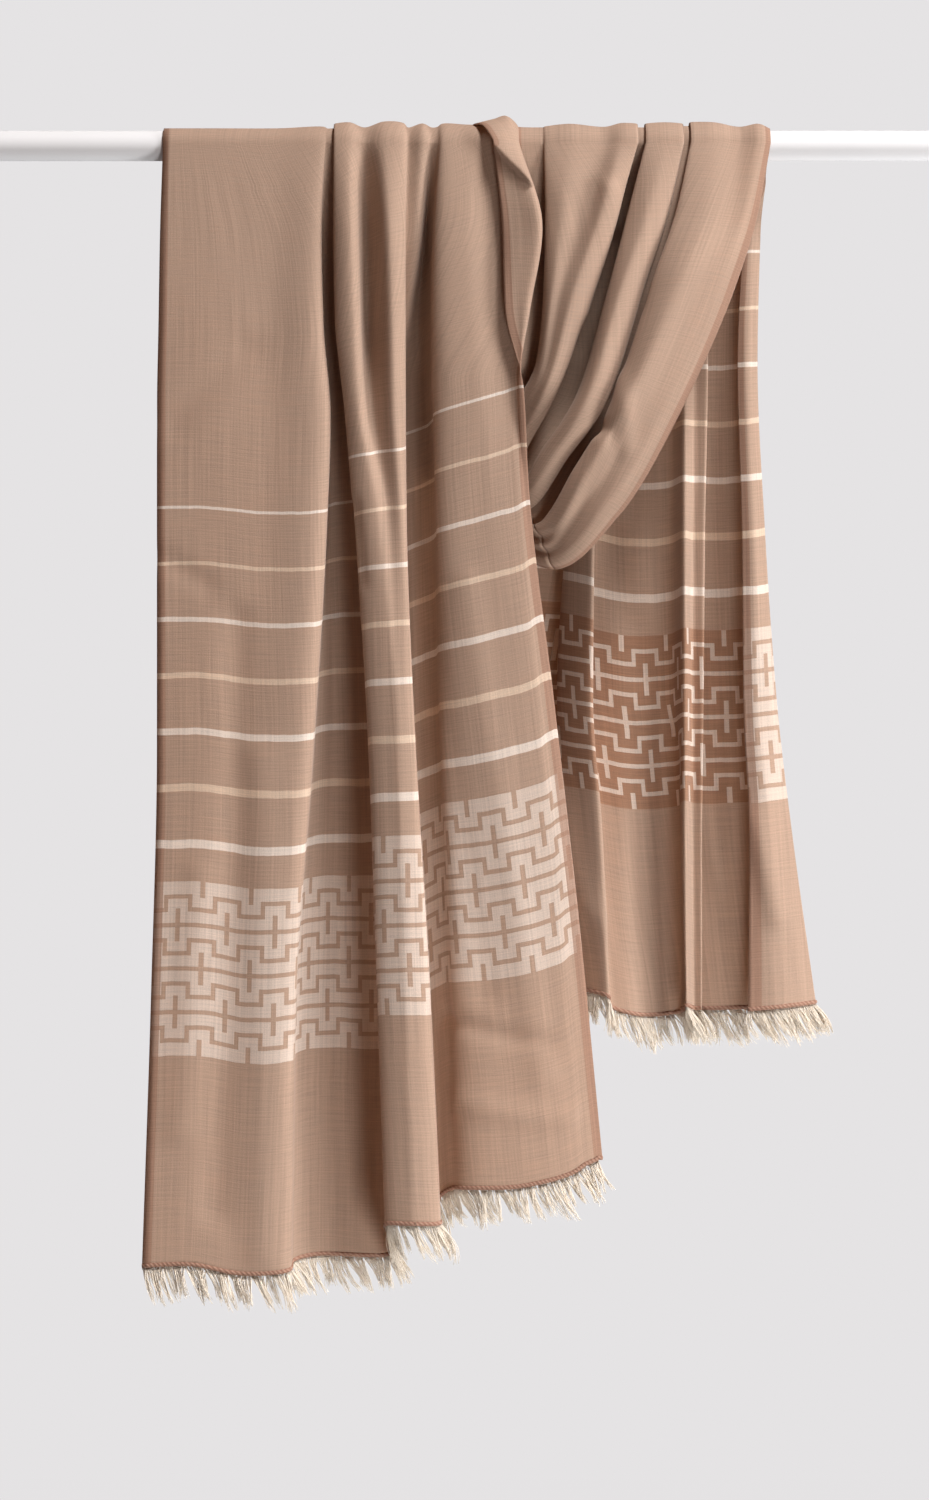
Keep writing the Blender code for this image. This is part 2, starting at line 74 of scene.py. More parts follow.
# The rail's front is at no turn, its top at a quarter and its back at a half. The loop and the
# second end meet over the rail at the seam's angle.
QUARTER = 90
HALF = 180
SEAM_ANGLE = 150.0
WRAP_STEPS = 22
# Places along the loop: from 0, level with the rail at the right, to 11, level with it behind.
FOOT_LEVEL = 5
SEAM_LEVEL = 10
LOOP_END = 11

# The columns of a table of folds, after its name. The swag's tables have a height and no drop.
FLAT, DROP, ACROSS, DEPTH = 1, 2, 3, 4
SWAG_ACROSS, SWAG_HEIGHT, SWAG_OUT = 2, 3, 4

# Each fold of the first end, from its left edge to its right edge. "flat" is its place across
# the flat cloth at the rail, and "drop" is how far below the rail's axis it ends. "across" is
# its place along the rail and "out" how far it stands out in front, both at the shares of the
# drop in FALL_SHARES.
FALL_SHARES = (0.0, 0.08, 0.16, 0.24, 0.34, 0.54, 0.76, 1.0)
FRONT_FOLDS = (
    # name, flat, drop, across, out
    ("left edge", 0, 748, (-201, -203, -204, -205, -205, -205, -209, -215), (0, 0, 0, 0, 1, 3, 5, 6)),
    ("panel a", 37, 747, (-164, -166, -168, -170, -171, -173, -178, -182), (0, 1, 3, 4, 5, 8, 9, 9)),
    ("panel b", 76, 753, (-125, -127, -130, -132, -135, -138, -145, -150), (0, 2, 4, 6, 9, 12, 12, 11)),
    ("crease", 113, 751, (-94, -97, -96, -92, -95, -104, -115, -118), (1, 4, 7, 9, 12, 14, 13, 11)),
    ("crease foot", 120, 744, (-92, -95, -94, -89, -91, -99.5, -111, -114),
     (0, -6, -11, -15, -15, -13, -12, -9)),
    ("valley wall", 132, 740, (-87, -89, -87, -81, -81, -87, -94, -98),
     (0, -10, -18, -24, -27, -30, -31, -25)),
    ("valley", 155, 740, (-80, -75, -68, -60, -56, -53, -51, -50),
     (0, -12, -20, -27, -34, -48, -50, -42)),
    ("return", 185, 728, (-81, -79, -74, -66, -60, -56, -52, -50),
     (2.6, -1, -5, -9, -10, -16, -16, -12)),
    ("pleat left", 205, 720, (-87, -87, -86, -80, -74, -64, -58, -52), (3, 6, 7, 8, 8, 9, 10, 10)),
    ("pleat crest", 217, 720, (-77, -75, -73, -70, -59, -48, -43, -38),
     (4, 11, 13, 14, 15, 17, 18, 17)),
    ("dart", 230, 720, (-67, -66, -65, -62, -51, -43, -38, -32), (0.6, -12, -12, 1, 12, 18, 19, 18)),
    ("second crest", 244, 720, (-54, -51, -49, -47, -42, -34, -26, -19),
     (4.5, 10, 12, 14, 14, 15, 16, 15)),
    ("pleat right", 257, 719, (-41, -40, -40, -40, -39, -34, -24, -16), (3.5, 4, 5, 6, 7, 9, 10, 10)),
    ("gap wall", 268, 712, (-38, -40, -42, -43, -43, -42, -34, -23),
     (0.6, -3, -12, -20, -26, -25, -18, -12)),
    ("third pleat", 282, 708, (-28, -31, -38, -44, -42, -38, -30, -22),
     (3.2, -3, -14, -26, -32, -31, -25, -22)),
    ("gap", 296, 702, (-22, -26, -31, -32, -33, -31, -24, -17),
     (0.6, -18, -31, -38, -38, -34, -28, -26)),
    ("gap return", 310, 696, (-18, -21, -22, -23, -22, -18, -13, -8),
     (1, -8, -16, -22, -25, -22, -16, -14)),
    ("right panel edge", 325, 696, (-15, -19, -20, -19, -18, -14, -6, 1), (3, 3, 2, 1, 1, 0, 0, -1)),
    ("right panel", 350, 695, (1, 0, 2, 7, 12, 21, 30, 37), (2.5, 6, 7, 8, 9, 9, 8, 7)),
    ("under the flap", 376, 686, (14, 17, 20, 26, 33, 47, 62, 72), (2, 3, 5, 7, 10, 11, 10, 8)),
    ("flap root", 400, 680, (26, 40, 36, 31, 37, 52, 68, 81), (0.6, 4, 5, 7, 10, 10, 9, 7)),
    ("flap fold", 425, 677, (36, 51.5, 43.5, 35.5, 40, 56, 73, 88), (2, 11, 11, 9.5, 9, 9, 8, 6)),
    ("flap back", 432, 676, (34, 50, 42, 36.5, 41, 57, 74, 89),
     (5, 14.5, 14, 11.5, 8.8, 8.7, 7.7, 5.7)),
    ("flap ridge", 446, 676, (27, 38, 35, 38, 42, 58, 75, 90.5),
     (8, 11.5, 12.8, 12.3, 8.7, 8.4, 7.4, 5.4)),
    ("flap edge", 460, 676, (19, 25, 27, 39.5, 43, 59, 76, 92), (8, 8, 11.5, 12.5, 8.5, 8, 7, 5)),
)

# Small creases, placed on the flat cloth: from a place to a place, each across the cloth
# and up from its end, how wide the crease is, and how far it stands out, or lies in where the
# depth is below nothing.
FRONT_CREASES = (
    # from, to, width, depth
    ((46, 40), (56, 430), 11, -2.2),
    ((78, 15), (70, 340), 12, 2.0),
    ((22, 90), (30, 260), 9, 1.4),
    ((3, 470), (34, 452), 8, -1.3),
    ((12, 560), (60, 610), 12, -1.4),
    ((247, 478), (252, 425), 4, -1.6),
    ((352, 118), (428, 92), 6, -2.0),
    ((365, 60), (440, 38), 8, 1.6),
    ((392, 130), (378, 520), 9, -1.8),
    ((424, 70), (410, 400), 9, 1.8),
    ((345, 560), (372, 470), 8, -1.2),
)
LOOP_CREASES = (
    ((52, 952), (96, 925), 8, -2.6),
    ((66, 900), (30, 955), 7, 1.8),
    ((170, 905), (196, 880), 6, -1.8),
    ((296, 800), (318, 870), 8, -1.6),
    ((345, 770), (372, 850), 9, 1.8),
    ((90, 760), (70, 850), 9, -1.4),
    ((120, 1060), (180, 1130), 14, 3.0),
    ((300, 1080), (350, 1150), 12, -3.0),
)
BACK_CREASES = (
    ((172, 190), (214, 10), 15, -5.0),
    ((190, 330), (178, 230), 12, -3.0),
    ((3, 130), (20, 62), 8, -2.4),
    ((92, 60), (104, 180), 8, 1.5),
    ((160, 420), (185, 360), 9, -2.0),
    ((300, 60), (330, 260), 14, 3.0),
    ((400, 40), (380, 220), 12, -3.0),
)

# Where the turned edge of the first end lies on top of the rail, in place of its first section:
# along the rail, and how far it stands out.
RAIL_TOP = {
    "flap root": (26, 0),
    "flap fold": (35.5, 0.5),
    "flap back": (27.5, 8.5),
    "flap ridge": (19.0, 5.8),
    "flap edge": (5, 1.5),
}
# The lower edge of that turned edge crosses the front of the rail as a ledge. It runs between two
# places seen from the front, along the rail and up. It is made of the cloth past a place across
# it, and its wall and the fade above it are measured upwards.
LEDGE = ((7.0, 10.5), (45.0, -27.0))
LEDGE_FROM = 425.0
LEDGE_TURN = 7.0
LEDGE_DEPTH = 5.0
LEDGE_WALL = 1.6
LEDGE_FADE = 26.0

# Each fold of the swag, from the long edge that hangs lowest to the other long edge. The six
# places of "across", "height" and "out" run from the rail down to the foot of the loop.
SWAG_FOLDS = (
    # name, flat, across, height, out
    ("lower edge", 0, (204, 195, 180, 146, 104, 60), (0, -47, -95, -173, -245, -282),
     (0, 4, 10, 12, 8, -6)),
    ("rim", 16, (197, 188, 172, 138, 96, 56), (0, -45, -91, -168, -238, -274), (3, 9, 16, 19, 16, -4)),
    ("dent", 40, (184, 178, 160, 127, 85, 53), (0, -45, -89, -163, -232, -267),
     (1, 10, 20, 22, 12, -4)),
    ("wide crest", 70, (167, 160, 144, 114, 82, 50), (0, -44, -89, -159, -216, -259),
     (4, 14, 26, 28, 20, -3)),
    ("wide edge", 96, (151, 141, 125, 99, 74, 46), (0, -44, -91, -169, -214, -252),
     (4, 10, 18, 18, 12, -5)),
    ("second gap", 130, (148.5, 138, 122, 97, 72, 44), (0, -44, -94, -172, -211, -246),
     (1.5, 3, 1, -5, -8, -8)),
    ("tube right", 160, (146, 136, 120, 95, 70, 42), (0, -44, -93, -170, -206, -241),
     (3, 6, 12, 14, 8, -6)),
    ("tube crest", 185, (134, 122, 104, 83, 60, 37), (0, -45, -96, -166, -205, -236),
     (4, 14, 22, 24, 14, -4)),
    ("tube left", 208, (121, 109, 95, 75, 51, 33), (0, -45, -99, -166, -204, -232),
     (3, 6, 12, 12, 6, -6)),
    ("first gap", 245, (118, 105.5, 88.5, 69.5, 48.5, 29.5), (0, -45, -102, -161, -199, -228),
     (0.6, -15, -25, -24, -16, -12)),
    ("broad right", 280, (115.5, 103, 83, 65, 46, 26), (0, -41, -103, -156, -193, -223),
     (3, 5, 10, 10, 1, -9)),
    ("broad crest", 300, (105, 93, 73, 58, 41, 21), (0, -41, -100, -153, -189, -219),
     (3.5, 14, 18, 16, 4, -8)),
    ("soft trough", 325, (94, 83, 65, 54, 37, 17), (0, -40, -97, -149, -185, -215),
     (1, 8, 14, 13, 1, -9)),
    ("left crest", 365, (70, 65, 58, 51, 33, 13), (0, -40, -96, -147, -181, -211),
     (3, 10, 14, 12, -1, -10)),
    ("left side", 400, (53, 54, 53, 48, 29, 9), (0, -40, -95, -144, -178, -207), (1, 4, 6, 4, -4, -12)),
    ("inner gap", 425, (45, 47, 48, 44, 25, 5), (0, -40, -93, -143, -175, -203),
     (0.6, -5, -8, -8, -10, -14)),
    ("inner edge", 460, (34, 36, 37, 34, 16, -1), (0, -40, -93, -144, -171, -199),
     (1, -3, 0, 1, -6, -14)),
)

# Folds of the swag that are pleated under the one before them. Each tuck lies behind the cloth
# between the two folds named: "reach" says how far it goes from the first towards the second, and
# "out" how far it stands out, at the same six places.
SWAG_TUCKS = (
    # name, flat, from, towards, reach, out
    ("under wide", 108, "wide edge", "wide crest", (1.0, 1.8, 2.0, 2.0, 1.6, 0.4),
     (2.4, 1, 4, 4, 0, -7)),
    ("wide tuck", 118, "wide edge", "wide crest", (0.9, 1.6, 2.0, 1.9, 1.5, 0.3),
     (1.2, -4, -7, -9, -8, -10)),
    ("tuck right", 140, "tube right", "tube crest", (0.8, 1.2, 1.3, 1.3, 1.0, 0.3),
     (1.2, -7, -10, -10, -8, -9)),
    ("under right", 150, "tube right", "tube crest", (0.9, 1.3, 1.4, 1.4, 1.0, 0.3),
     (1.9, 1, 3, 3, 0, -7)),
    ("under tube", 222, "tube left", "tube crest", (0.9, 1.2, 1.3, 1.2, 1.0, 0.3),
     (2.4, -1, -2, -3, -4, -8)),
    ("tube tuck", 232, "tube left", "tube crest", (0.8, 1.1, 1.3, 1.1, 1.0, 0.2),
     (1.2, -12, -15, -15, -12, -11)),
    ("broad tuck", 256, "broad right", "broad crest", (0.8, 1.6, 2.0, 1.6, 1.2, 0.2),
     (1.2, -12, -15, -14, -12, -12)),
    ("under broad", 268, "broad right", "broad crest", (0.9, 1.6, 2.0, 1.6, 1.2, 0.3),
     (1.9, -1, 0, -1, -5, -10)),
    ("under left", 408, "left side", "left crest", (0.9, 1.2, 1.6, 1.5, 1.2, 0.4),
     (1.6, -2, -3, -6, -10, -14)),
    ("left tuck", 416, "left side", "left crest", (0.8, 1.1, 1.5, 1.4, 1.0, 0.3),
     (1.1, -9, -12, -13, -14, -15)),
)

# The loop behind the rail, from the foot of the loop up to the rail: how much of the way along
# and of the way up each place has gone, how far it hangs behind the rail's back, and how much
# of the swag's folds it keeps.
LOOP_PLACES = (
    # along, up, behind, folds
    (0.22, 0.14, 20, 0.0),
    (0.48, 0.31, 30, 0.05),
    (0.70, 0.49, 29, 0.3),
    (0.84, 0.68, 22, 0.25),
    (0.93, 0.84, 11, 0.0),
)
# The swag's section whose folds the loop keeps, and how deep those are in the mean.
FOLD_PLACE = 3
FOLD_DEPTH = 8
# How far the folds at the rail have opened where they lie behind it.
BACK_OPENING = 0.65
# Where the loop's folds have been spread out evenly behind the rail: across the flat cloth, and
# along the rail.
LOOP_SPREAD = ((0, 155, 257, 460), (-201, -84, -40, 28))

# Each fold of the second end, from the edge that is turned over to the one behind the first
# end. "behind" is how far it stands behind the rail's back. Both "across" and "behind" are at
# the shares of the drop in BACK_SHARES.
BACK_SHARES = (0.04, 0.1, 0.25, 0.45, 0.65, 0.8, 1.0)
BACK_FOLDS = (
    # name, flat, drop, across, behind
    ("turned edge", 0, 577, (200, 187, 182, 185, 186, 190, 189), (0, 1, 3, 4, 5, 6, 8)),
    ("turned strip", 7, 575, (200.5, 192, 189, 193, 197, 204, 212), (2.5, 0.5, 1, 2, 3, 4, 7)),
    ("outer fold", 14, 572, (199.5, 197, 195, 200, 208, 218, 234), (5.5, 4.5, 8, 11, 14, 16, 18)),
    ("behind strip", 24, 574, (192, 190, 187, 191, 196, 203, 212), (8, 10, 17, 23, 27, 26, 24)),
    ("recess", 50, 576, (176, 172, 172, 172, 172, 170, 170), (7, 12, 21, 29, 33, 32, 29)),
    ("recess end", 76, 576, (162, 157, 153, 149, 147, 146, 145), (8, 12, 20, 29, 35, 36, 35)),
    ("narrow pleat", 98, 576, (157, 162, 162, 160, 159, 158, 158), (3.5, 5, 8, 12, 16, 18, 20)),
    ("slot", 110, 576, (153, 154, 153, 152, 152, 152, 153), (4.5, 7, 10, 14, 18, 20, 22)),
    ("panel edge", 122, 574, (150, 150, 147, 147, 147, 147, 148), (1, 1, 2, 4, 6, 8, 10)),
    ("panel hollow", 148, 579, (143, 139, 137, 136, 135, 136, 140), (4, 9, 17, 24, 32, 39, 40)),
    ("panel face", 176, 580, (128, 118, 114, 111, 108, 108, 114), (6, 12, 21, 28, 30, 28, 23)),
    ("panel end", 192, 574, (112, 97, 87, 83, 81, 88, 96), (10, 17, 26, 33, 35, 29, 22)),
    ("curved crest", 204, 568, (115, 99, 90, 86, 85, 91, 96), (4, 3, 4, 6, 7, 8, 11)),
    ("curved side", 236, 562, (104, 82, 74, 68, 62, 64, 77), (8, 15, 23, 30, 34, 33, 32)),
    ("hidden valley", 286, 556, (108, 122, 127, 122, 105, 90, 90), (18, 27, 36, 42, 44, 43, 41)),
    ("hidden crest", 340, 553, (82, 72, 62, 56, 38, 30, 40), (22, 33, 42, 47, 48, 46, 44)),
    ("hidden dip", 400, 550, (56, 45, 34, 28, 10, 2, 12), (16, 26, 34, 40, 42, 42, 42)),
    ("hidden edge", 460, 548, (40, 48, 47, 44, 16, 1, 12), (3, 6, 12, 16, 18, 20, 22)),
)


def linear(code):
    """Turns an sRGB hex colour such as "#C8A28A" into linear red, green and blue."""
    parts = [int(code[k : k + 2], 16) / 255 for k in (1, 3, 5)]
    return tuple(p / 12.92 if p <= 0.04045 else ((p + 0.055) / 1.055) ** 2.4 for p in parts)


def colour_property(name, description, code):
    """A colour that the panel shows, with its default as an sRGB hex value."""
    facts = {"name": name, "description": description, "default": linear(code)}
    return FloatVectorProperty(subtype="COLOR", size=3, min=0, max=1, **facts)


def length_property(name, description, size):
    """A length that the panel shows, with its default in millimetres."""
    return FloatProperty(name=name, description=description, unit="LENGTH", default=size * MM)


class ShawlSizes(bpy.types.PropertyGroup):
    """Sizes of the cloth and of what is woven into it."""

    thickness: length_property("Cloth", "Thickness of the cloth", 0.8)
    selvedge: length_property("Selvedge", "Width of the dense woven edge", 6)
    stripe_start: length_property("First stripe", "From the hem to the lowest stripe", 282.5)
    stripe_pitch: length_property("Stripe pitch", "From one stripe to the next", 37.8)
    stripe_count: IntProperty(name="Stripes", description="Stripes at each end", default=7)
    band_bottom: length_property("Band bottom", "From the hem to the fretted band", 140)
    fret_pitch: length_property("Fret pitch", "Width of the fret's repeat", 32.7)
    fret_row: length_property("Fret row", "Height of a row of the fret", 29.3)
    fringe_length: length_property("Fringe", "Length of the fringe's strands", 23)


class ShawlColours(bpy.types.PropertyGroup):
    """Colours of the yarns, the paint and the floor."""

    tan: colour_property("Tan wool", "Undyed tan of the ground weave", "#BEA28E")
    glow: colour_property("Light through", "Colour of light through the cloth", "#E6C4A8")
    selvedge: colour_property("Selvedge", "Denser weave along the edges", "#AE8B77")
    cream: colour_property("Cream yarn", "Yarn of every second stripe", "#E6CFB8")
    white: colour_property("White yarn", "Yarn of the other stripes", "#F0E4D8")
    floats: colour_property("Band", "White floats over tan warp in the band", "#E4D2C3")
    shade: colour_property("Band's wrong side", "Ground of the band, wrong side", "#A8826A")
    hem: colour_property("Hem", "Rolled hem of the same wool", "#A68270")
    # Painted shade: this darker colour is laid in the grooves between the turns of the rolled hem.
    hem_groove_shade: colour_property("Hem's twist", "Between the turns of the hem", "#8A6450")
    fringe: colour_property("Fringe", "Loose cream warp ends", "#FFF8EC")
    fringe_root: colour_property("Fringe's shade", "Duller yarn in the fringe", "#F3E6D5")
    paint: colour_property("Rail paint", "White paint of the rail", "#E2E2E3")
    paint_shade: colour_property("Paint's shade", "Thinner paint of the rail", "#DCDCDE")
    floor: colour_property("Floor", "Pale floor under the shawl", "#E5E3E4")
    floor_shade: colour_property("Floor's shade", "Uneven tone of the floor", "#E4E2E3")


def smooth(places, values, at):
    """Reads a smooth line through values at places, which never swings past its points."""
    places, values, at = (np.asarray(x, dtype=float) for x in (places, values, at))
    run, rise = np.diff(places), np.diff(values)
    slope = rise / run
    tangent = np.zeros(len(places))
    tangent[0], tangent[-1] = slope[0], slope[-1]
    same_way = slope[:-1] * slope[1:] > 0
    before, after = slope[:-1][same_way], slope[1:][same_way]
    tangent[1:-1][same_way] = 2 * before * after / (before + after)
    span = np.clip(np.searchsorted(places, at, side="right") - 1, 0, len(run) - 1)
    share = (at - places[span]) / run[span]
    return (
        values[span] * (1 + 2 * share) * (1 - share) ** 2
        + values[span + 1] * share**2 * (3 - 2 * share)
        + run[span] * tangent[span] * share * (1 - share) ** 2
        - run[span] * tangent[span + 1] * share**2 * (1 - share)
    )


def through(points, at):
    """Reads a rounded curve through points at places such as 2.5, half way past the third."""
    points = np.asarray(points, dtype=float)
    ends = [2 * points[0] - points[1]], [2 * points[-1] - points[-2]]
    p = np.concatenate([ends[0], points, ends[1]])
    span = np.clip(np.floor(at).astype(int), 0, len(points) - 2)
    a, b, c, d = (p[span + k] for k in range(4))
    gaps = (np.linalg.norm(y - x, axis=1) for x, y in ((a, b), (b, c), (c, d)))
    step = [np.sqrt(gap) + SAME_PLACE for gap in gaps]
    t1, t2, t3 = step[0], step[0] + step[1], step[0] + step[1] + step[2]
    t = t1 + (at - span) * step[1]

    def blend(x, y, low, high):
        return ((x.T * (high - t) + y.T * (t - low)) / (high - low)).T

    ab, bc, cd = blend(a, b, 0, t1), blend(b, c, t1, t2), blend(c, d, t2, t3)
    return blend(blend(ab, bc, 0, t2), blend(bc, cd, t1, t3), t1, t2)


def read(folds, column, place=None):
    """A column of a table of folds, at one of its places where it has several."""
    cells = (fold[column] if place is None else fold[column][place] for fold in folds)
    return np.array(list(cells), dtype=float)


def columns(folds, steps):
    """Places across the flat cloth, with the same number of steps from each fold to the next."""
    count = len(folds)
    at = np.linspace(0, count - 1, (count - 1) * steps + 1)
    return np.interp(at, np.arange(count), read(folds, FLAT))


def fold_places(folds, flat):
    """Where places across the flat cloth lie in a table of folds, such as 2.5."""
    return np.interp(flat, read(folds, FLAT), np.arange(len(folds)))


def as_seen(across, height, depth):
    """Puts points of the front elevation at their depth, along the viewer's lines of sight."""
    near = 1 + depth / VIEW_DISTANCE
    return np.stack([across * near, depth, VIEW_HEIGHT + (height - VIEW_HEIGHT) * near], axis=-1)


def wrapped(row, turn):
    """Carries a row at the front of the rail over it, by a turn in degrees."""
    angle = np.radians(turn)
    return np.stack([row[:, 0], row[:, 1] * np.cos(angle), -row[:, 1] * np.sin(angle)], axis=1)


def loft(stations, sections, levels):
    """Reads rows smoothly between sections that have matching points."""
    sections = np.asarray(sections)
    rows = np.empty((len(levels), *sections.shape[1:]))
    for j in range(sections.shape[1]):
        for k in range(3):
            rows[:, j, k] = smooth(stations, sections[:, j, k], levels)
    return rows


def hung(folds, shares, flat, side):
    """The sections of an end that hangs in front of the rail, side -1, or behind it, side 1."""
    at = fold_places(folds, flat)
    sections = []
    for place, share in enumerate(shares):
        depth = side * (WRAP_RADIUS + read(folds, DEPTH, place))
        points = as_seen(read(folds, ACROSS, place), -share * read(folds, DROP), depth)
        sections.append(through(points, at))
    return sections


def fall_sections(flat):
    """The sections of the first end, from the rail to the hem."""
    sections = hung(FRONT_FOLDS, FALL_SHARES, flat, -1)
    sections[0] *= (1, 1, 0)
    return sections


def rail_top_section(flat):
    """The section of the first end on the rail's top, as it would lie at the rail's front."""
    places = [RAIL_TOP.get(fold[0], (fold[ACROSS][0], fold[DEPTH][0])) for fold in FRONT_FOLDS]
    across, out = np.array(places, dtype=float).T
    points = as_seen(across, 0 * across, -WRAP_RADIUS - out)
    return through(points, fold_places(FRONT_FOLDS, flat)) * (1, 1, 0)


def ledge(rows, flat):
    """How far the turned edge stands out above its ledge, for each point."""
    near = 1 + rows[..., 1] / VIEW_DISTANCE
    across, height = rows[..., 0] / near, VIEW_HEIGHT + (rows[..., 2] - VIEW_HEIGHT) / near
    (left, high), (right, low) = LEDGE
    above = height - np.interp(across, (left, right), (high, low))
    turned = np.clip((flat - LEDGE_FROM) / LEDGE_TURN, 0, 1)
    step = np.clip(above / LEDGE_WALL, 0, 1) * np.clip(1 - above / LEDGE_FADE, 0, 1)
    return LEDGE_DEPTH * step * turned * (rows[..., 1] < 0)


def pleated_swag():
    """The folds of the swag together with the tucks between them, in order across the cloth."""
    named = {fold[0]: fold for fold in SWAG_FOLDS}
    folds = list(SWAG_FOLDS)
    for name, flat, start, towards, reach, out in SWAG_TUCKS:
        middle = []
        for column in (SWAG_ACROSS, SWAG_HEIGHT):
            places = zip(named[start][column], named[towards][column], reach)
            middle.append(tuple(a + share * (b - a) for a, b, share in places))
        folds.append((name, flat, *middle, out))
    return sorted(folds, key=itemgetter(FLAT))


SWAG_PLEATS = pleated_swag()


def swag_sections(flat):
    """The sections of the swag, from the rail to the foot of the loop."""
    at = fold_places(SWAG_PLEATS, flat)
    sections = []
    for place in range(FOOT_LEVEL + 1):
        across, height = read(SWAG_PLEATS, SWAG_ACROSS, place), read(SWAG_PLEATS, SWAG_HEIGHT, place)
        out = read(SWAG_PLEATS, SWAG_OUT, place)
        sections.append(through(as_seen(across, height, -WRAP_RADIUS - out), at))
    sections[0] *= (1, 1, 0)
    return sections


def loop_sections(flat):
    """The sections of the whole loop, from the rail's front at the right round to its back."""
    front = swag_sections(flat)
    rail_back = wrapped(opened(fall_sections(flat)[0], flat), HALF)
    foot = front[-1]
    even = np.interp(flat, *LOOP_SPREAD)
    folds = -front[FOLD_PLACE][:, 1] - WRAP_RADIUS
    behind = []
    for along, up, depth, kept in LOOP_PLACES:
        row = np.empty_like(foot)
        row[:, 0] = foot[:, 0] + along * (even - foot[:, 0])
        row[:, 1] = WRAP_RADIUS + depth + kept * (folds - FOLD_DEPTH)
        row[:, 2] = foot[:, 2] * (1 - up)
        behind.append(row)
    return front + behind + [rail_back]


def back_sections(flat):
    """The sections of the second end, from the rail's back to the hem."""
    top = wrapped(swag_sections(flat)[0], HALF)
    return [top, *hung(BACK_FOLDS, BACK_SHARES, flat, 1)]


def opened(top, flat):
    """A section at the rail with its folds partly opened, as they lie behind the rail."""
    depth = np.full(len(flat), -WRAP_RADIUS)
    even = np.stack([np.interp(flat, *LOOP_SPREAD), depth, 0 * flat], axis=1)
    return top + (even - top) * BACK_OPENING


def over_the_rail(front, top, back, first, last):
    """Rows over the rail between two turns, in degrees from its front.

    The section changes from that at the front to that at the rail's top and that at the back.
    """
    rows = []
    for turn in np.linspace(first, last, WRAP_STEPS):
        rising, falling = min(1, turn / QUARTER), max(0, turn / QUARTER - 1)
        section = front + (top - front) * rising + (back - top) * falling
        rows.append(wrapped(section, turn))
    return rows


# The cloth of the loop is gathered where it hangs narrow behind the rail: how many waves it has
# across its width, how unevenly they are spaced, and how deep they are at places along the loop.
GATHERS = 11
GATHER_DRIFT = 70.0
GATHER_SWAY = 0.35
GATHER_PLACES = (0.0, 4.6, 5.0, 6.0, 7.5, 8.8, 9.6, 10.0)
GATHER_DEPTHS = (0.0, 0.0, 1.5, 6.0, 8.0, 7.5, 4.0, 0.0)

# Where the loop's weave starts, up from the hem.
LOOP_START = 700.0
# How far across the cloth the weft stays level over its folds.
WEFT_STIFFNESS = 34.0
# How far the warp of the second end is kept upright along its folds: 1 is wholly.
UPRIGHT = 0.7
# The weave of the first end is drawn a little askew: places across it, how much it is shrunk
# along its length there, and how far its lines lie too low.
WEAVE_DRAW = (
    (0, 110, 210, 330, 460),
    (1.016, 1.016, 1.0, 0.979, 0.979),
    (-2.0, -2.0, 1.0, 3.5, 3.5),
)

# Steps from one fold to the next, and rows along each stretch.
FRONT_STEPS = 7
FRONT_ROWS = 250
# The rows of the first end lie closer together towards the rail.
ROWS_TO_RAIL = 1.5
SEAM_ROWS = 14
SWAG_STEPS = 7
SWAG_ROWS = 130
LOOP_ROWS = 90
BACK_STEPS = 9
BACK_ROWS = 190


def front_fall_rows():
    """The first end, from its hem up to the rail, over it and down behind it to the seam."""
    flat = columns(FRONT_FOLDS, FRONT_STEPS)
    sections = fall_sections(flat)
    falling = loft(FALL_SHARES, sections, np.linspace(1, 0, FRONT_ROWS) ** ROWS_TO_RAIL)
    top = rail_top_section(flat)
    over = over_the_rail(sections[0], top, opened(sections[0], flat), 0, HALF)
    loop = loop_sections(flat)
    rising = loft(np.arange(len(loop)), loop, np.linspace(SEAM_LEVEL, LOOP_END, SEAM_ROWS))
    rows = np.array([*falling[:-1], *over, *rising[::-1][1:]])
    rows[..., 1] -= ledge(rows, flat)
    return creased(rows, flat_places(rows, from_last=False), FRONT_CREASES)


def loop_rows():
    """The loop, from the rail's back at the right, over it, down and up to its back at the left.

    Also gives the row at the foot of the loop, where the swag ends.
    """
    flat = columns(SWAG_PLEATS, SWAG_STEPS)
    sections = loop_sections(flat)
    stations = np.arange(len(sections))
    down = np.linspace(0, FOOT_LEVEL, SWAG_ROWS)
    up = np.linspace(FOOT_LEVEL, SEAM_LEVEL, LOOP_ROWS)
    hanging, rising = loft(stations, sections, down), loft(stations, sections, up)
    over = over_the_rail(sections[0], sections[0], sections[0], SEAM_ANGLE, 0)
    rows = np.array([*over[:-1], *hanging, *rising[1:]])
    foot = len(over) + SWAG_ROWS - 2
    depth = smooth(GATHER_PLACES, GATHER_DEPTHS, [*np.zeros(len(over) - 1), *down, *up[1:]])
    drift = GATHER_SWAY * np.sin(flat / GATHER_DRIFT)
    wave = np.sin(2 * np.pi * (flat / CLOTH_WIDTH * GATHERS + drift))
    rows = rows + normals(rows) * depth[:, None, None] * wave[None, :, None]
    return creased(rows, flat_places(rows, from_last=False, start=LOOP_START), LOOP_CREASES), foot


def back_fall_rows():
    """The second end, from the seam behind the rail to its hem."""
    sections = back_sections(columns(BACK_FOLDS, BACK_STEPS))
    top = wrapped(sections[0], HALF)
    over = over_the_rail(top, top, top, SEAM_ANGLE, HALF)
    falling = loft((0.0, *BACK_SHARES), sections, np.linspace(0, 1, BACK_ROWS))
    rows = np.array([*over[:-1], *falling])
    return creased(rows, flat_places(rows, from_last=True), BACK_CREASES)


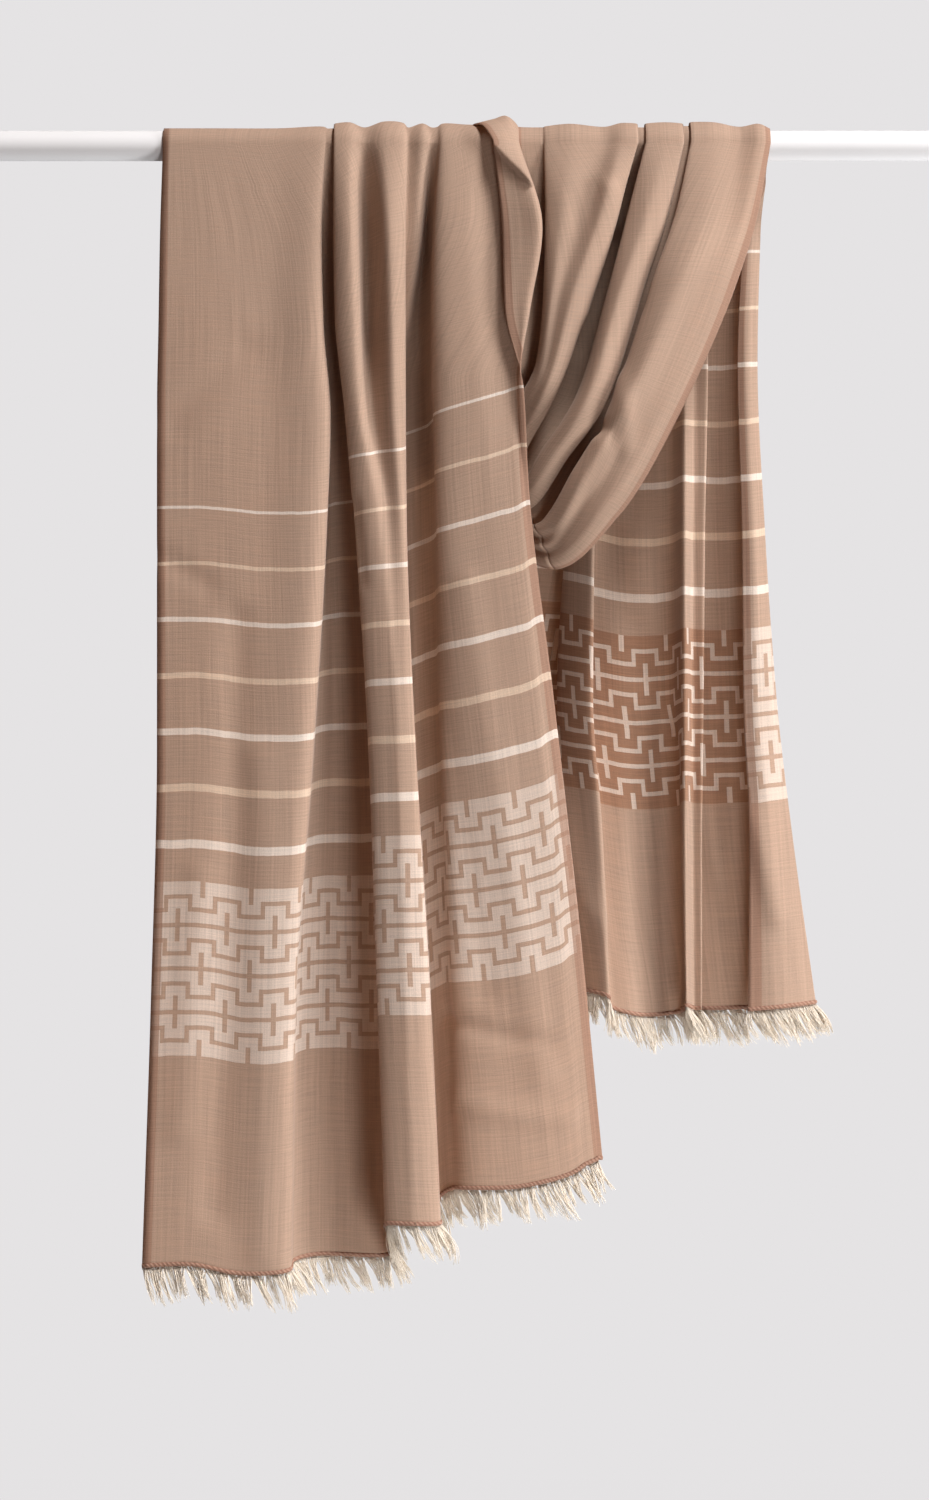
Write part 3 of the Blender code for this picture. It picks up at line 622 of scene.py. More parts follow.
def directions(rows, axis):
    """The direction of the lines of points at each point, half way between its two sides."""
    steps = np.diff(rows, axis=axis)
    steps /= np.linalg.norm(steps, axis=2, keepdims=True) + TINY
    before = np.concatenate([np.take(steps, [0], axis), steps], axis)
    after = np.concatenate([steps, np.take(steps, [-1], axis)], axis)
    return before + after


def normals(rows):
    """The unit direction that each point of a cloth faces."""
    normal = np.cross(directions(rows, 1), directions(rows, 0))
    return normal / (np.linalg.norm(normal, axis=2, keepdims=True) + TINY)


def lengths(rows, axis):
    """How far each point is along its line of points."""
    steps = np.linalg.norm(np.diff(rows, axis=axis), axis=2)
    start = np.zeros_like(np.take(steps, [0], axis))
    return np.concatenate([start, np.cumsum(steps, axis)], axis)


def flat_places(rows, from_last, start=0.0, upright=0.0):
    """Places across the flat cloth and up from its end, in millimetres, for each point.

    The weft runs straight across small folds, so heights are evened out with their neighbours'.
    The warp is kept as upright along the folds as the share asked for.
    """
    across = lengths(rows, 1)
    across *= CLOTH_WIDTH / across[:, -1:]
    across += upright * (across.mean(0) - across)
    up = lengths(rows, 0)
    if from_last:
        up = up[-1:] - up
    even = np.empty_like(up)
    for i, (places, heights) in enumerate(zip(across, up)):
        share = np.exp(-(((places[:, None] - places[None]) / WEFT_STIFFNESS) ** 2))
        even[i] = share @ heights / share.sum(1)
    return np.stack([across, even + start], axis=2)


def creased(rows, places, creases):
    """Rows of a cloth with its small creases pressed in."""
    push = np.zeros(rows.shape[:2])
    for start, end, width, depth in creases:
        start, way = np.array(start), np.subtract(end, start)
        share = np.clip((places - start) @ way / (way @ way), 0, 1)
        off = np.linalg.norm(places - start - share[..., None] * way, axis=2)
        push += depth * np.exp(-((off / width) ** 2))
    return rows + normals(rows) * push[..., None]


def new_piece(name, points, faces, corners, sides, finishes):
    """An object of points and faces, with places on the flat cloth and a finish for each face."""
    mesh = bpy.data.meshes.new(name)
    mesh.from_pydata(points.tolist(), [], faces)
    uv = mesh.uv_layers.new(name=FLAT_MAP)
    uv.data.foreach_set("uv", corners.ravel())
    mesh.polygons.foreach_set("material_index", np.array(sides, dtype=np.int32))
    mesh.shade_smooth()
    mesh.update()
    for finish in finishes:
        mesh.materials.append(finish)
    piece = bpy.data.objects.new(name, mesh)
    bpy.context.scene.collection.objects.link(piece)
    return piece


def shell(name, rows, normal, places, finishes, thickness):
    """A thin closed cloth about rows of points, with its right and wrong side finishes.

    The first finish is on the side that the points face.
    """
    count, width = rows.shape[:2]
    half = normal * thickness / MM / 2
    points = np.concatenate([(rows + half).reshape(-1, 3), (rows - half).reshape(-1, 3)]) * MM
    index = np.arange(count * width).reshape(count, width)
    corners = [index[:-1, :-1], index[:-1, 1:], index[1:, 1:], index[1:, :-1]]
    quads = np.stack(corners, axis=2).reshape(-1, 4)
    under = quads[:, ::-1] + count * width
    edge = np.array([*index[0], *index[1:, -1], *index[-1, -2::-1], *index[-2:0:-1, 0]])
    after = np.roll(edge, -1)
    rim = np.stack([after, edge, edge + count * width, after + count * width], axis=1)
    faces = np.concatenate([quads, under, rim])
    flat = np.concatenate([places.reshape(-1, 2)] * 2) * MM
    sides = np.repeat([0, 1, 0], [len(quads), len(under), len(rim)])
    return new_piece(name, points, faces.tolist(), flat[faces.ravel()], sides, finishes)


def add_node(tree, kind, inputs=None, **settings):
    """Adds a node with its settings, and sets or links its inputs. Gives its outputs."""
    node = tree.nodes.new(kind)
    for name, value in settings.items():
        setattr(node, name, value)
    for key, value in (inputs or {}).items():
        if isinstance(value, bpy.types.NodeSocket):
            tree.links.new(value, node.inputs[key])
        else:
            node.inputs[key].default_value = value
    return node.outputs


def worked_out(tree, values, steps):
    """Adds a table of sums as nodes. Each step names its result, its operation and its terms."""
    for result, operation, *terms in steps:
        inputs = {k: values.get(term, term) for k, term in enumerate(terms)}
        values[result] = add_node(tree, "ShaderNodeMath", inputs, operation=operation)[0]
    return values


# Stripes get narrower away from the hem: half the first one's width, and how much less it is at
# each of the next.
HALF_STRIPE = 2.9
STRIPE_NARROWING = 0.32
# The fret is four rows high. Half the thickness of its lines and of its upright bars, how far the
# bars reach from their row, and how far its steps rise and fall.
FRET_ROWS = 4
FRET_LINE = 1.5
FRET_BAR = 1.65
BAR_REACH = 11.0
STEP_RISE = 4.4


def weave_steps(sizes):
    """The sums that place the selvedges, the stripes and the fret on the cloth, in millimetres."""
    pitch, row = sizes.fret_pitch / MM, sizes.fret_row / MM
    start, step = sizes.stripe_start / MM, sizes.stripe_pitch / MM
    selvedge, bottom = sizes.selvedge / MM, sizes.band_bottom / MM
    return (
        ("from middle", "SUBTRACT", "across", CLOTH_WIDTH / 2),
        ("off middle", "ABSOLUTE", "from middle"),
        ("selvedge", "GREATER_THAN", "off middle", CLOTH_WIDTH / 2 - selvedge),
        ("over first", "SUBTRACT", "up", start),
        ("stripes over", "DIVIDE", "over first", step),
        ("nearest", "ROUND", "stripes over"),
        ("not under", "MAXIMUM", "nearest", 0),
        ("stripe", "MINIMUM", "not under", sizes.stripe_count - 1),
        ("stripe height", "MULTIPLY", "stripe", step),
        ("off stripe", "SUBTRACT", "over first", "stripe height"),
        ("from stripe", "ABSOLUTE", "off stripe"),
        ("narrowing", "MULTIPLY", "stripe", STRIPE_NARROWING),
        ("half stripe", "SUBTRACT", HALF_STRIPE, "narrowing"),
        ("in stripe", "LESS_THAN", "from stripe", "half stripe"),
        ("cream stripe", "MODULO", "stripe", 2),
        ("below top", "SUBTRACT", bottom + FRET_ROWS * row, "up"),
        ("rows below", "DIVIDE", "below top", row),
        ("above bottom", "GREATER_THAN", "rows below", 0),
        ("below upper", "LESS_THAN", "rows below", FRET_ROWS),
        ("in band", "MULTIPLY", "above bottom", "below upper"),
        ("nearest row", "ROUND", "rows below"),
        ("row height", "MULTIPLY", "nearest row", row),
        ("off row", "SUBTRACT", "below top", "row height"),
        ("from row", "ABSOLUTE", "off row"),
        ("odd row", "MODULO", "nearest row", 2),
        ("row shift", "MULTIPLY", "odd row", pitch / 2),
        ("row place", "ADD", "across", "row shift"),
        ("off bar", "WRAP", "row place", pitch / 2, -pitch / 2),
        ("from bar", "ABSOLUTE", "off bar"),
        ("bar wide", "LESS_THAN", "from bar", FRET_BAR),
        ("bar high", "LESS_THAN", "from row", BAR_REACH),
        ("bar", "MULTIPLY", "bar wide", "bar high"),
        ("inner offset", "SUBTRACT", "rows below", FRET_ROWS / 2),
        ("from centre", "ABSOLUTE", "inner offset"),
        ("inner row", "LESS_THAN", "from centre", (FRET_ROWS - 1) / 2),
        ("line high", "LESS_THAN", "from row", FRET_LINE),
        ("line", "MULTIPLY", "line high", "inner row"),
        ("upper row", "FLOOR", "rows below"),
        ("upper height", "MULTIPLY", "upper row", row),
        ("under row", "SUBTRACT", "below top", "upper height"),
        ("odd upper", "MODULO", "upper row", 2),
        ("upper shift", "MULTIPLY", "odd upper", pitch / 2),
        ("upper place", "ADD", "across", "upper shift"),
        ("off upper", "WRAP", "upper place", pitch / 2, -pitch / 2),
        ("from upper", "ABSOLUTE", "off upper"),
        ("is low", "LESS_THAN", "from upper", pitch / 4),
        ("lowered", "MULTIPLY", "is low", 2 * STEP_RISE),
        ("level", "ADD", "lowered", row / 2 - STEP_RISE),
        ("off level", "SUBTRACT", "under row", "level"),
        ("from level", "ABSOLUTE", "off level"),
        ("run", "LESS_THAN", "from level", FRET_LINE),
        ("off step", "SUBTRACT", "from upper", pitch / 4),
        ("from step", "ABSOLUTE", "off step"),
        ("step wide", "LESS_THAN", "from step", FRET_LINE),
        ("off half", "SUBTRACT", "under row", row / 2),
        ("from half", "ABSOLUTE", "off half"),
        ("step high", "LESS_THAN", "from half", STEP_RISE + FRET_LINE),
        ("step", "MULTIPLY", "step wide", "step high"),
        ("bar or line", "MAXIMUM", "bar", "line"),
        ("run or step", "MAXIMUM", "run", "step"),
        ("fret", "MAXIMUM", "bar or line", "run or step"),
    )


def new_material(name):
    """A new material and its empty node tree."""
    material = bpy.data.materials.new(name)
    material.use_nodes = True
    material.node_tree.nodes.clear()
    return material, material.node_tree


# The noises that roughen the weave: how many of their spots there are to a millimetre across and
# along the cloth, and how finely they break up.
GRAIN = (
    # name, across, along, detail
    # Uneven beating-in, which moves the woven lines: places 17 mm wide and 50 mm long.
    ("uneven", 0.06, 0.02, 2.0),
    # Warp streaks: threads 0.5 mm apart, drawn as groups of three so that they show.
    ("warp", 0.7, 0.012, 3.0),
    # Weft slubs: thick and thin places up to 30 mm long.
    ("weft", 0.035, 1.1, 3.0),
    # The yarn's own mottle, about 0.8 mm across.
    ("mottle", 1.2, 1.2, 2.0),
)
# How far in all the woven lines lie off their place, in millimetres.
WANDER = 1.8
# The sums that turn those noises into the cloth's tone and the share of light that it lets
# through: thin places in the weft let more through, so a single layer looks grainy against the
# light.
CLOTH_STEPS = (
    ("weft share", "MULTIPLY", "weft", 0.9),
    ("mottle share", "MULTIPLY", "mottle", 0.6),
    ("threads", "ADD", "warp", "weft share"),
    ("grain", "ADD", "threads", "mottle share"),
    ("grain off", "SUBTRACT", "grain", 1.25),
    ("grain tone", "MULTIPLY_ADD", "grain off", 0.55, 1.0),
    ("no fret", "SUBTRACT", 1.0, "fret"),
    ("in selvedge", "MULTIPLY", "selvedge", 0.8),
    ("open", "SUBTRACT", 1.0, "in selvedge"),
    ("stripe cover", "MULTIPLY", "in stripe", 0.93),
    ("thin", "MULTIPLY_ADD", "weft", 0.45, 0.09),
)


def worsted_wool(name, wrong_side):
    """Fine worsted merino, woven plain, with a band of floats: soft, with a faint sheen.

    The eye sees a matt, slightly streaked cloth whose threads run down and across, lighter
    where light comes through one layer. On the wrong side the band's colours change places.
    """
    settings = bpy.context.scene.shawl_sizes
    colours = bpy.context.scene.shawl_colours
    material, tree = new_material(name)
    place = add_node(tree, "ShaderNodeUVMap", uv_map=FLAT_MAP)[0]
    scaled = {0: place, 1: (1 / MM, 1 / MM, 0)}
    flat = add_node(tree, "ShaderNodeVectorMath", scaled, operation="MULTIPLY")[0]
    parts = add_node(tree, "ShaderNodeSeparateXYZ", {0: flat})
    values = {"across": parts[0], "true up": parts[1]}
    for noise, across, along, detail in GRAIN:
        scaled = {0: flat, 1: (across, along, 0)}
        at = add_node(tree, "ShaderNodeVectorMath", scaled, operation="MULTIPLY")[0]
        spots = {"Vector": at, "Scale": 1.0, "Detail": detail}
        values[noise] = add_node(tree, "ShaderNodeTexNoise", spots)[0]
    # The relief is in millimetres: floats stand 0.2 mm proud, and threads about a tenth of that.
    steps = (
        ("unevenness", "SUBTRACT", "uneven", 0.5),
        ("wander", "MULTIPLY", "unevenness", WANDER),
        ("up", "ADD", "true up", "wander"),
        *weave_steps(settings),
        *CLOTH_STEPS,
        ("floats", "MULTIPLY", "fret" if wrong_side else "no fret", "in band"),
        ("band floats", "MULTIPLY", "floats", "open"),
        ("raised", "MULTIPLY", "band floats", 0.20),
        ("thread relief", "MULTIPLY", "grain", 0.12),
        ("relief", "ADD", "raised", "thread relief"),
    )
    worked_out(tree, values, steps)
    stripe = {"Factor": values["cream stripe"], "A": (*colours.white, 1), "B": (*colours.cream, 1)}
    yarn = add_node(tree, "ShaderNodeMix", stripe, data_type="RGBA")["Result"]
    layers = [
        ("selvedge", (*colours.selvedge, 1)),
        ("stripe cover", yarn),
        ("band floats", (*colours.floats, 1)),
    ]
    if wrong_side:
        layers.insert(1, ("in band", (*colours.shade, 1)))
    colour = (*colours.tan, 1)
    for cover, over in layers:
        layer = {"Factor": values[cover], "A": colour, "B": over}
        colour = add_node(tree, "ShaderNodeMix", layer, data_type="RGBA")["Result"]
    tone = {0: colour, "Scale": values["grain tone"]}
    toned = add_node(tree, "ShaderNodeVectorMath", tone, operation="SCALE")[0]
    relief = {"Height": values["relief"], "Distance": MM, "Strength": 0.9}
    bump = add_node(tree, "ShaderNodeBump", relief)[0]
    wool = {
        "Base Color": toned,
        "Roughness": 0.82,
        "IOR": 1.54,
        "Sheen Weight": 0.18,
        "Sheen Roughness": 0.4,
        "Sheen Tint": (1.0, 0.9, 0.82, 1.0),
        "Specular IOR Level": 0.25,
        "Normal": bump,
    }
    surface = add_node(tree, "ShaderNodeBsdfPrincipled", wool)[0]
    warmed = {"Factor": 0.5, "A": toned, "B": (*colours.glow, 1)}
    lit_through = add_node(tree, "ShaderNodeMix", warmed, data_type="RGBA")["Result"]
    through_it = {"Color": lit_through, "Normal": bump}
    glow = add_node(tree, "ShaderNodeBsdfTranslucent", through_it)[0]
    both = add_node(tree, "ShaderNodeMixShader", {"Fac": values["thin"], 1: surface, 2: glow})[0]
    add_node(tree, "ShaderNodeOutputMaterial", {"Surface": both})
    return material


def loose_yarn(name):
    """Cream worsted warp ends, combed out: dry and hairy, and light shows through the locks."""
    colours = bpy.context.scene.shawl_colours
    material, tree = new_material(name)
    position = add_node(tree, "ShaderNodeNewGeometry")["Position"]
    # Locks of lighter and duller yarn, 2.5 mm across.
    spots = {"Vector": position, "Scale": 400.0, "Detail": 2.0}
    tone = add_node(tree, "ShaderNodeTexNoise", spots)[0]
    two = {"Factor": tone, "A": (*colours.fringe_root, 1), "B": (*colours.fringe, 1)}
    colour = add_node(tree, "ShaderNodeMix", two, data_type="RGBA")["Result"]
    yarn = {"Base Color": colour, "Roughness": 0.8, "Sheen Weight": 0.3, "Specular IOR Level": 0.25}
    surface = add_node(tree, "ShaderNodeBsdfPrincipled", yarn)[0]
    glow = add_node(tree, "ShaderNodeBsdfTranslucent", {"Color": colour})[0]
    both = add_node(tree, "ShaderNodeMixShader", {"Fac": 0.35, 1: surface, 2: glow})[0]
    add_node(tree, "ShaderNodeOutputMaterial", {"Surface": both})
    return material


def rolled_hem(name):
    """The same worsted, rolled tight and whipped, and coloured darker than the cloth. Between the turns
    of its twist the colour is darker still, which is painted shade in the grooves.
    """
    colours = bpy.context.scene.shawl_colours
    material, tree = new_material(name)
    place = add_node(tree, "ShaderNodeUVMap", uv_map=FLAT_MAP)[0]
    # The turns of the twist are about 3 mm apart.
    turns = {"Vector": place, "Scale": 200.0, "Distortion": 1.5}
    twist = add_node(tree, "ShaderNodeTexWave", turns, bands_direction="DIAGONAL")["Fac"]
    # The colour darkens where the twist's bump is low, as painted shade in the grooves between the
    # turns.
    two = {"Factor": twist, "A": (*colours.hem_groove_shade, 1), "B": (*colours.hem, 1)}
    colour = add_node(tree, "ShaderNodeMix", two, data_type="RGBA")["Result"]
    relief = {"Height": twist, "Distance": 0.3 * MM, "Strength": 0.8}
    bump = add_node(tree, "ShaderNodeBump", relief)[0]
    wool = {"Base Color": colour, "Roughness": 0.85, "Normal": bump}
    surface = add_node(tree, "ShaderNodeBsdfPrincipled", wool)[0]
    add_node(tree, "ShaderNodeOutputMaterial", {"Surface": surface})
    return material


def rail_paint(name):
    """White satin paint sprayed on a tube: smooth, with a soft gloss and a faint orange peel."""
    colours = bpy.context.scene.shawl_colours
    material, tree = new_material(name)
    position = add_node(tree, "ShaderNodeNewGeometry")["Position"]
    # Orange peel about 1 mm across, and thinner and thicker paint 70 mm across.
    peel, thin = (
        add_node(tree, "ShaderNodeTexNoise", {"Vector": position, "Scale": scale, "Detail": detail})[0]
        for scale, detail in ((900.0, 2.0), (14.0, 3.0))
    )
    two = {"Factor": thin, "A": (*colours.paint, 1), "B": (*colours.paint_shade, 1)}
    colour = add_node(tree, "ShaderNodeMix", two, data_type="RGBA")["Result"]
    relief = {"Height": peel, "Distance": 0.05 * MM, "Strength": 0.4}
    bump = add_node(tree, "ShaderNodeBump", relief)[0]
    paint = {"Base Color": colour, "Roughness": 0.6, "Specular IOR Level": 0.3, "Normal": bump}
    surface = add_node(tree, "ShaderNodeBsdfPrincipled", paint)[0]
    add_node(tree, "ShaderNodeOutputMaterial", {"Surface": surface})
    return material


def painted_floor(name):
    """Matt emulsion on a studio floor: even and pale, with a barely uneven tone."""
    colours = bpy.context.scene.shawl_colours
    material, tree = new_material(name)
    position = add_node(tree, "ShaderNodeNewGeometry")["Position"]
    # Roller marks about a third of a metre across.
    marks = {"Vector": position, "Scale": 3.0, "Detail": 3.0}
    tone = add_node(tree, "ShaderNodeTexNoise", marks)[0]
    two = {"Factor": tone, "A": (*colours.floor, 1), "B": (*colours.floor_shade, 1)}
    colour = add_node(tree, "ShaderNodeMix", two, data_type="RGBA")["Result"]
    seen = add_node(tree, "ShaderNodeLightPath")["Is Camera Ray"]
    lit, glow = (
        add_node(tree, "ShaderNodeEmission", {"Color": colour, "Strength": strength})[0]
        for strength in (1.0, FLOOR_GLOW)
    )
    both = add_node(tree, "ShaderNodeMixShader", {"Fac": seen, 1: glow, 2: lit})[0]
    add_node(tree, "ShaderNodeOutputMaterial", {"Surface": both})
    return material


RIGHT_SIDE = "worsted merino, right side"
WRONG_SIDE = "worsted merino, wrong side"
HEM = "rolled worsted hem"
WARP_ENDS = "cream worsted warp ends, combed"
PAINT = "white satin paint, sprayed on tube"
EMULSION = "matt emulsion floor"


def finish_of(name, make, *facts):
    """The material of that name, made the first time that a piece asks for it."""
    return bpy.data.materials.get(name) or make(name, *facts)


def both_sides():
    """The finishes of the cloth's right and wrong side."""
    right = finish_of(RIGHT_SIDE, worsted_wool, False)
    return right, finish_of(WRONG_SIDE, worsted_wool, True)


def put_in_place(piece, slot, *nodes):
    """Lets a piece stand for its solids and ride on the body that carries them."""
    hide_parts(*nodes)
    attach(piece, BODY)


class SHAWL_OT_front_fall(bpy.types.Operator):
    """Add the end of the shawl that hangs in front of the rail."""

    bl_idname = "shawl.front_fall"
    bl_label = "Front fall"

    def execute(self, context):
        rows = front_fall_rows()
        places = flat_places(rows, from_last=False)
        at, shrunk, low = WEAVE_DRAW
        places[..., 1] *= np.interp(places[..., 0], at, shrunk)
        places[..., 1] += np.interp(places[..., 0], at, low)
        thickness = context.scene.shawl_sizes.thickness
        cloth = shell("front_fall_cloth", rows, normals(rows), places, both_sides(), thickness)
        put_in_place(cloth, "wool_cloth", "front_fall")
        return {"FINISHED"}


class SHAWL_OT_loop(bpy.types.Operator):
    """Add the loop of the shawl: the swag in front of the rail and the cloth behind it."""

    bl_idname = "shawl.loop"
    bl_label = "Swag and loop"

    def execute(self, context):
        rows, foot = loop_rows()
        normal = normals(rows)
        places = flat_places(rows, from_last=False, start=LOOP_START)
        finishes, thickness = both_sides(), context.scene.shawl_sizes.thickness
        part = slice(None, foot + 1)
        cloth = shell("swag_cloth", rows[part], normal[part], places[part], finishes, thickness)
        put_in_place(cloth, "wool_cloth", "swag")
        part = slice(foot, None)
        cloth = shell("loop_back_cloth", rows[part], normal[part], places[part], finishes, thickness)
        put_in_place(cloth, "wool_cloth", "loop_back")
        return {"FINISHED"}


class SHAWL_OT_back_fall(bpy.types.Operator):
    """Add the end of the shawl that hangs behind the rail, with one edge turned over."""

    bl_idname = "shawl.back_fall"
    bl_label = "Back fall"

    def execute(self, context):
        rows = back_fall_rows()
        places = flat_places(rows, from_last=True, upright=UPRIGHT)
        finishes, thickness = both_sides()[::-1], context.scene.shawl_sizes.thickness
        cloth = shell("back_fall_cloth", rows, normals(rows), places, finishes, thickness)
        put_in_place(cloth, "wool_cloth", "back_fall")
        return {"FINISHED"}


HEM_RADIUS = 1.5
HEM_SIDES = 10
# The fringe hangs in locks, a lock to each pitch along the hem. Its threads are drawn thicker
# than real ones, so that they show.
LOCK_PITCH = 3.6
LOCK_THREADS = 14
THREAD_RADIUS = 0.4
THREAD_RINGS = 6
THREAD_SIDES = 3
THREAD_TAPER = 0.6
# How unevenly locks are placed, as shares of their pitch, and how long they are, as shares of the
# fringe's length.
LOCK_DRIFT = 0.3
LOCK_REACH = (0.75, 1.12)
# How unevenly locks lean along the rail, lean forward and curl, as shares of their length.
LOCK_LEAN = 0.15
LOCK_FORWARD = 0.12
LOCK_CURL = 0.12
# The same of the threads in a lock.
THREAD_DRIFT = 0.75
THREAD_REACH = (0.75, 1.05)
THREAD_LEAN = 0.05
THREAD_CURL = 0.06
THREAD_BOW = 0.6
# How far each end's fringe leans to the right at its left and right end, and its seed.
FRONT_LEAN, FRONT_SEED = (0.25, 0.5), 7
BACK_LEAN, BACK_SEED = (0.1, 0.6), 8
# A line nearer to an axis than this is read against another axis.
NEAR_AXIS = 0.9


def along_hem(line, places):
    """Reads points at lengths along a line of points."""
    length = lengths(line[None], 1)[0]
    return np.stack([np.interp(places, length, line[:, k]) for k in range(3)], axis=1)


def tube(points, radii, side_count):
    """Rings of points about a line, and the faces between them, closed at both ends."""
    way = directions(points[None], 1)[0]
    way /= np.linalg.norm(way, axis=1, keepdims=True)
    first = np.cross(way, (0, 1, 0) if abs(way[:, 1]).max() < NEAR_AXIS else (1, 0, 0))
    first /= np.linalg.norm(first, axis=1, keepdims=True)
    second = np.cross(way, first)
    turn = (2 * np.pi * np.arange(side_count) / side_count)[None, :, None]
    round_it = first[:, None] * np.cos(turn) + second[:, None] * np.sin(turn)
    rings = points[:, None] + radii[:, None, None] * round_it
    last = (len(points) - 1) * side_count
    faces = []
    for i in range(0, last, side_count):
        for k in range(side_count):
            after = (k + 1) % side_count
            faces.append((i + k, i + after, i + side_count + after, i + side_count + k))
    caps = [tuple(range(side_count))[::-1], tuple(range(last, last + side_count))]
    return rings.reshape(-1, 3), [*faces, *caps]


def fringe(name, hem, above, lean, seed, length):
    """A rolled hem and its combed fringe, as one piece, along the cloth's end."""
    up = above - hem
    up /= np.linalg.norm(up, axis=1, keepdims=True)
    radii = np.full(len(hem), HEM_RADIUS)
    tubes = [tube(hem + up * HEM_RADIUS, radii, HEM_SIDES)]
    chance = np.random.default_rng(seed)
    left, right = hem[:, 0].min(), hem[:, 0].max()
    fall = np.linspace(0, 1, THREAD_RINGS)
    for k in range(int(lengths(hem[None], 1)[0][-1] / LOCK_PITCH)):
        root_at = (k + 0.5 + chance.uniform(-LOCK_DRIFT, LOCK_DRIFT)) * LOCK_PITCH
        root = along_hem(hem, [root_at])[0]
        leaning = np.interp(root[0], (left, right), lean) + chance.normal(0, LOCK_LEAN)
        reach = length / MM * chance.uniform(*LOCK_REACH)
        forward = chance.normal(0, LOCK_FORWARD)
        curl = chance.normal(0, LOCK_CURL)
        for _ in range(LOCK_THREADS):
            drift = chance.uniform(-THREAD_DRIFT, THREAD_DRIFT) * LOCK_PITCH
            start = along_hem(hem, [root_at + drift])[0]
            own = reach * chance.uniform(*THREAD_REACH)
            tip = root + own * np.array([leaning + chance.normal(0, THREAD_LEAN), forward, -1.0])
            curls = curl + chance.normal(0, THREAD_CURL), chance.normal(0, THREAD_CURL), 0
            bow = np.outer(4 * fall * (1 - fall), np.array(curls) * own) * THREAD_BOW
            line = start + np.outer(fall, tip - start) + bow
            tubes.append(tube(line, THREAD_RADIUS * (1 - THREAD_TAPER * fall), THREAD_SIDES))
    faces, finishes, base = [], [], 0
    for number, (points, walls) in enumerate(tubes):
        faces += [tuple(base + k for k in face) for face in walls]
        finishes += [min(number, 1)] * len(walls)
        base += len(points)
    points = np.concatenate([part[0] for part in tubes]) * MM
    corners = points[np.concatenate([np.array(face) for face in faces])][:, (0, 2)]
    used = finish_of(HEM, rolled_hem), finish_of(WARP_ENDS, loose_yarn)
    return new_piece(name, points, faces, corners, finishes, used)


class SHAWL_OT_fringes(bpy.types.Operator):
    """Add the rolled hem and the fringe of both ends."""

    bl_idname = "shawl.fringes"
    bl_label = "Fringes"

    def execute(self, context):
        length = context.scene.shawl_sizes.fringe_length
        front = front_fall_rows()
        piece = fringe("fringe_front_strands", front[0], front[1], FRONT_LEAN, FRONT_SEED, length)
        put_in_place(piece, "wool_fringe", "fringe_front")
        back = back_fall_rows()
        piece = fringe("fringe_back_strands", back[-1], back[-2], BACK_LEAN, BACK_SEED, length)
        put_in_place(piece, "wool_fringe", "fringe_back")
        return {"FINISHED"}


class SHAWL_OT_rail(bpy.types.Operator):
    """Paint the rail."""

    bl_idname = "shawl.rail"
    bl_label = "Rail paint"

    def execute(self, context):
        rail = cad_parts["rail"]
        rail.data.materials.clear()
        rail.data.materials.append(finish_of(PAINT, rail_paint))
        return {"FINISHED"}


# The wall that the camera sees, and the faint warm light that the cloth gets from all around.
WALL = "#E5E3E4"
FILL = "#F0A26C"
FILL_STRENGTH = 0.12
# Round soft lights, in metres and watts: a high one in front, a side one, and weak ones from
# below and behind.
LIGHTS = (
    # name, place, aim, size, energy
    ("key", (0.9, -1.0, 2.3), (0, 0, -0.3), 0.6, 102.0),
    ("side", (1.9, -0.9, -0.5), (0, 0, -0.5), 0.7, 40.0),
    ("low", (0.35, -1.0, -1.25), (0.02, 0, -0.8), 0.4, 8.5),
    ("back", (0.6, 0.7, -0.9), (0, 0, -0.7), 0.5, 9.0),
)
# The floor looks evenly lit, and gives this share of its light to the cloth.
FLOOR_GLOW = 0.3
FLOOR_HEIGHT = -1.7
FLOOR_SIZE = 8.0


def aimed(light, target):
    """Turns a light towards a point."""
    x, y, z = np.array(target) - np.array(light.location)
    tilt, turn = np.arctan2(z, np.hypot(x, y)), np.arctan2(y, x)
    light.rotation_euler = (np.pi / 2 + tilt, 0, turn - np.pi / 2)


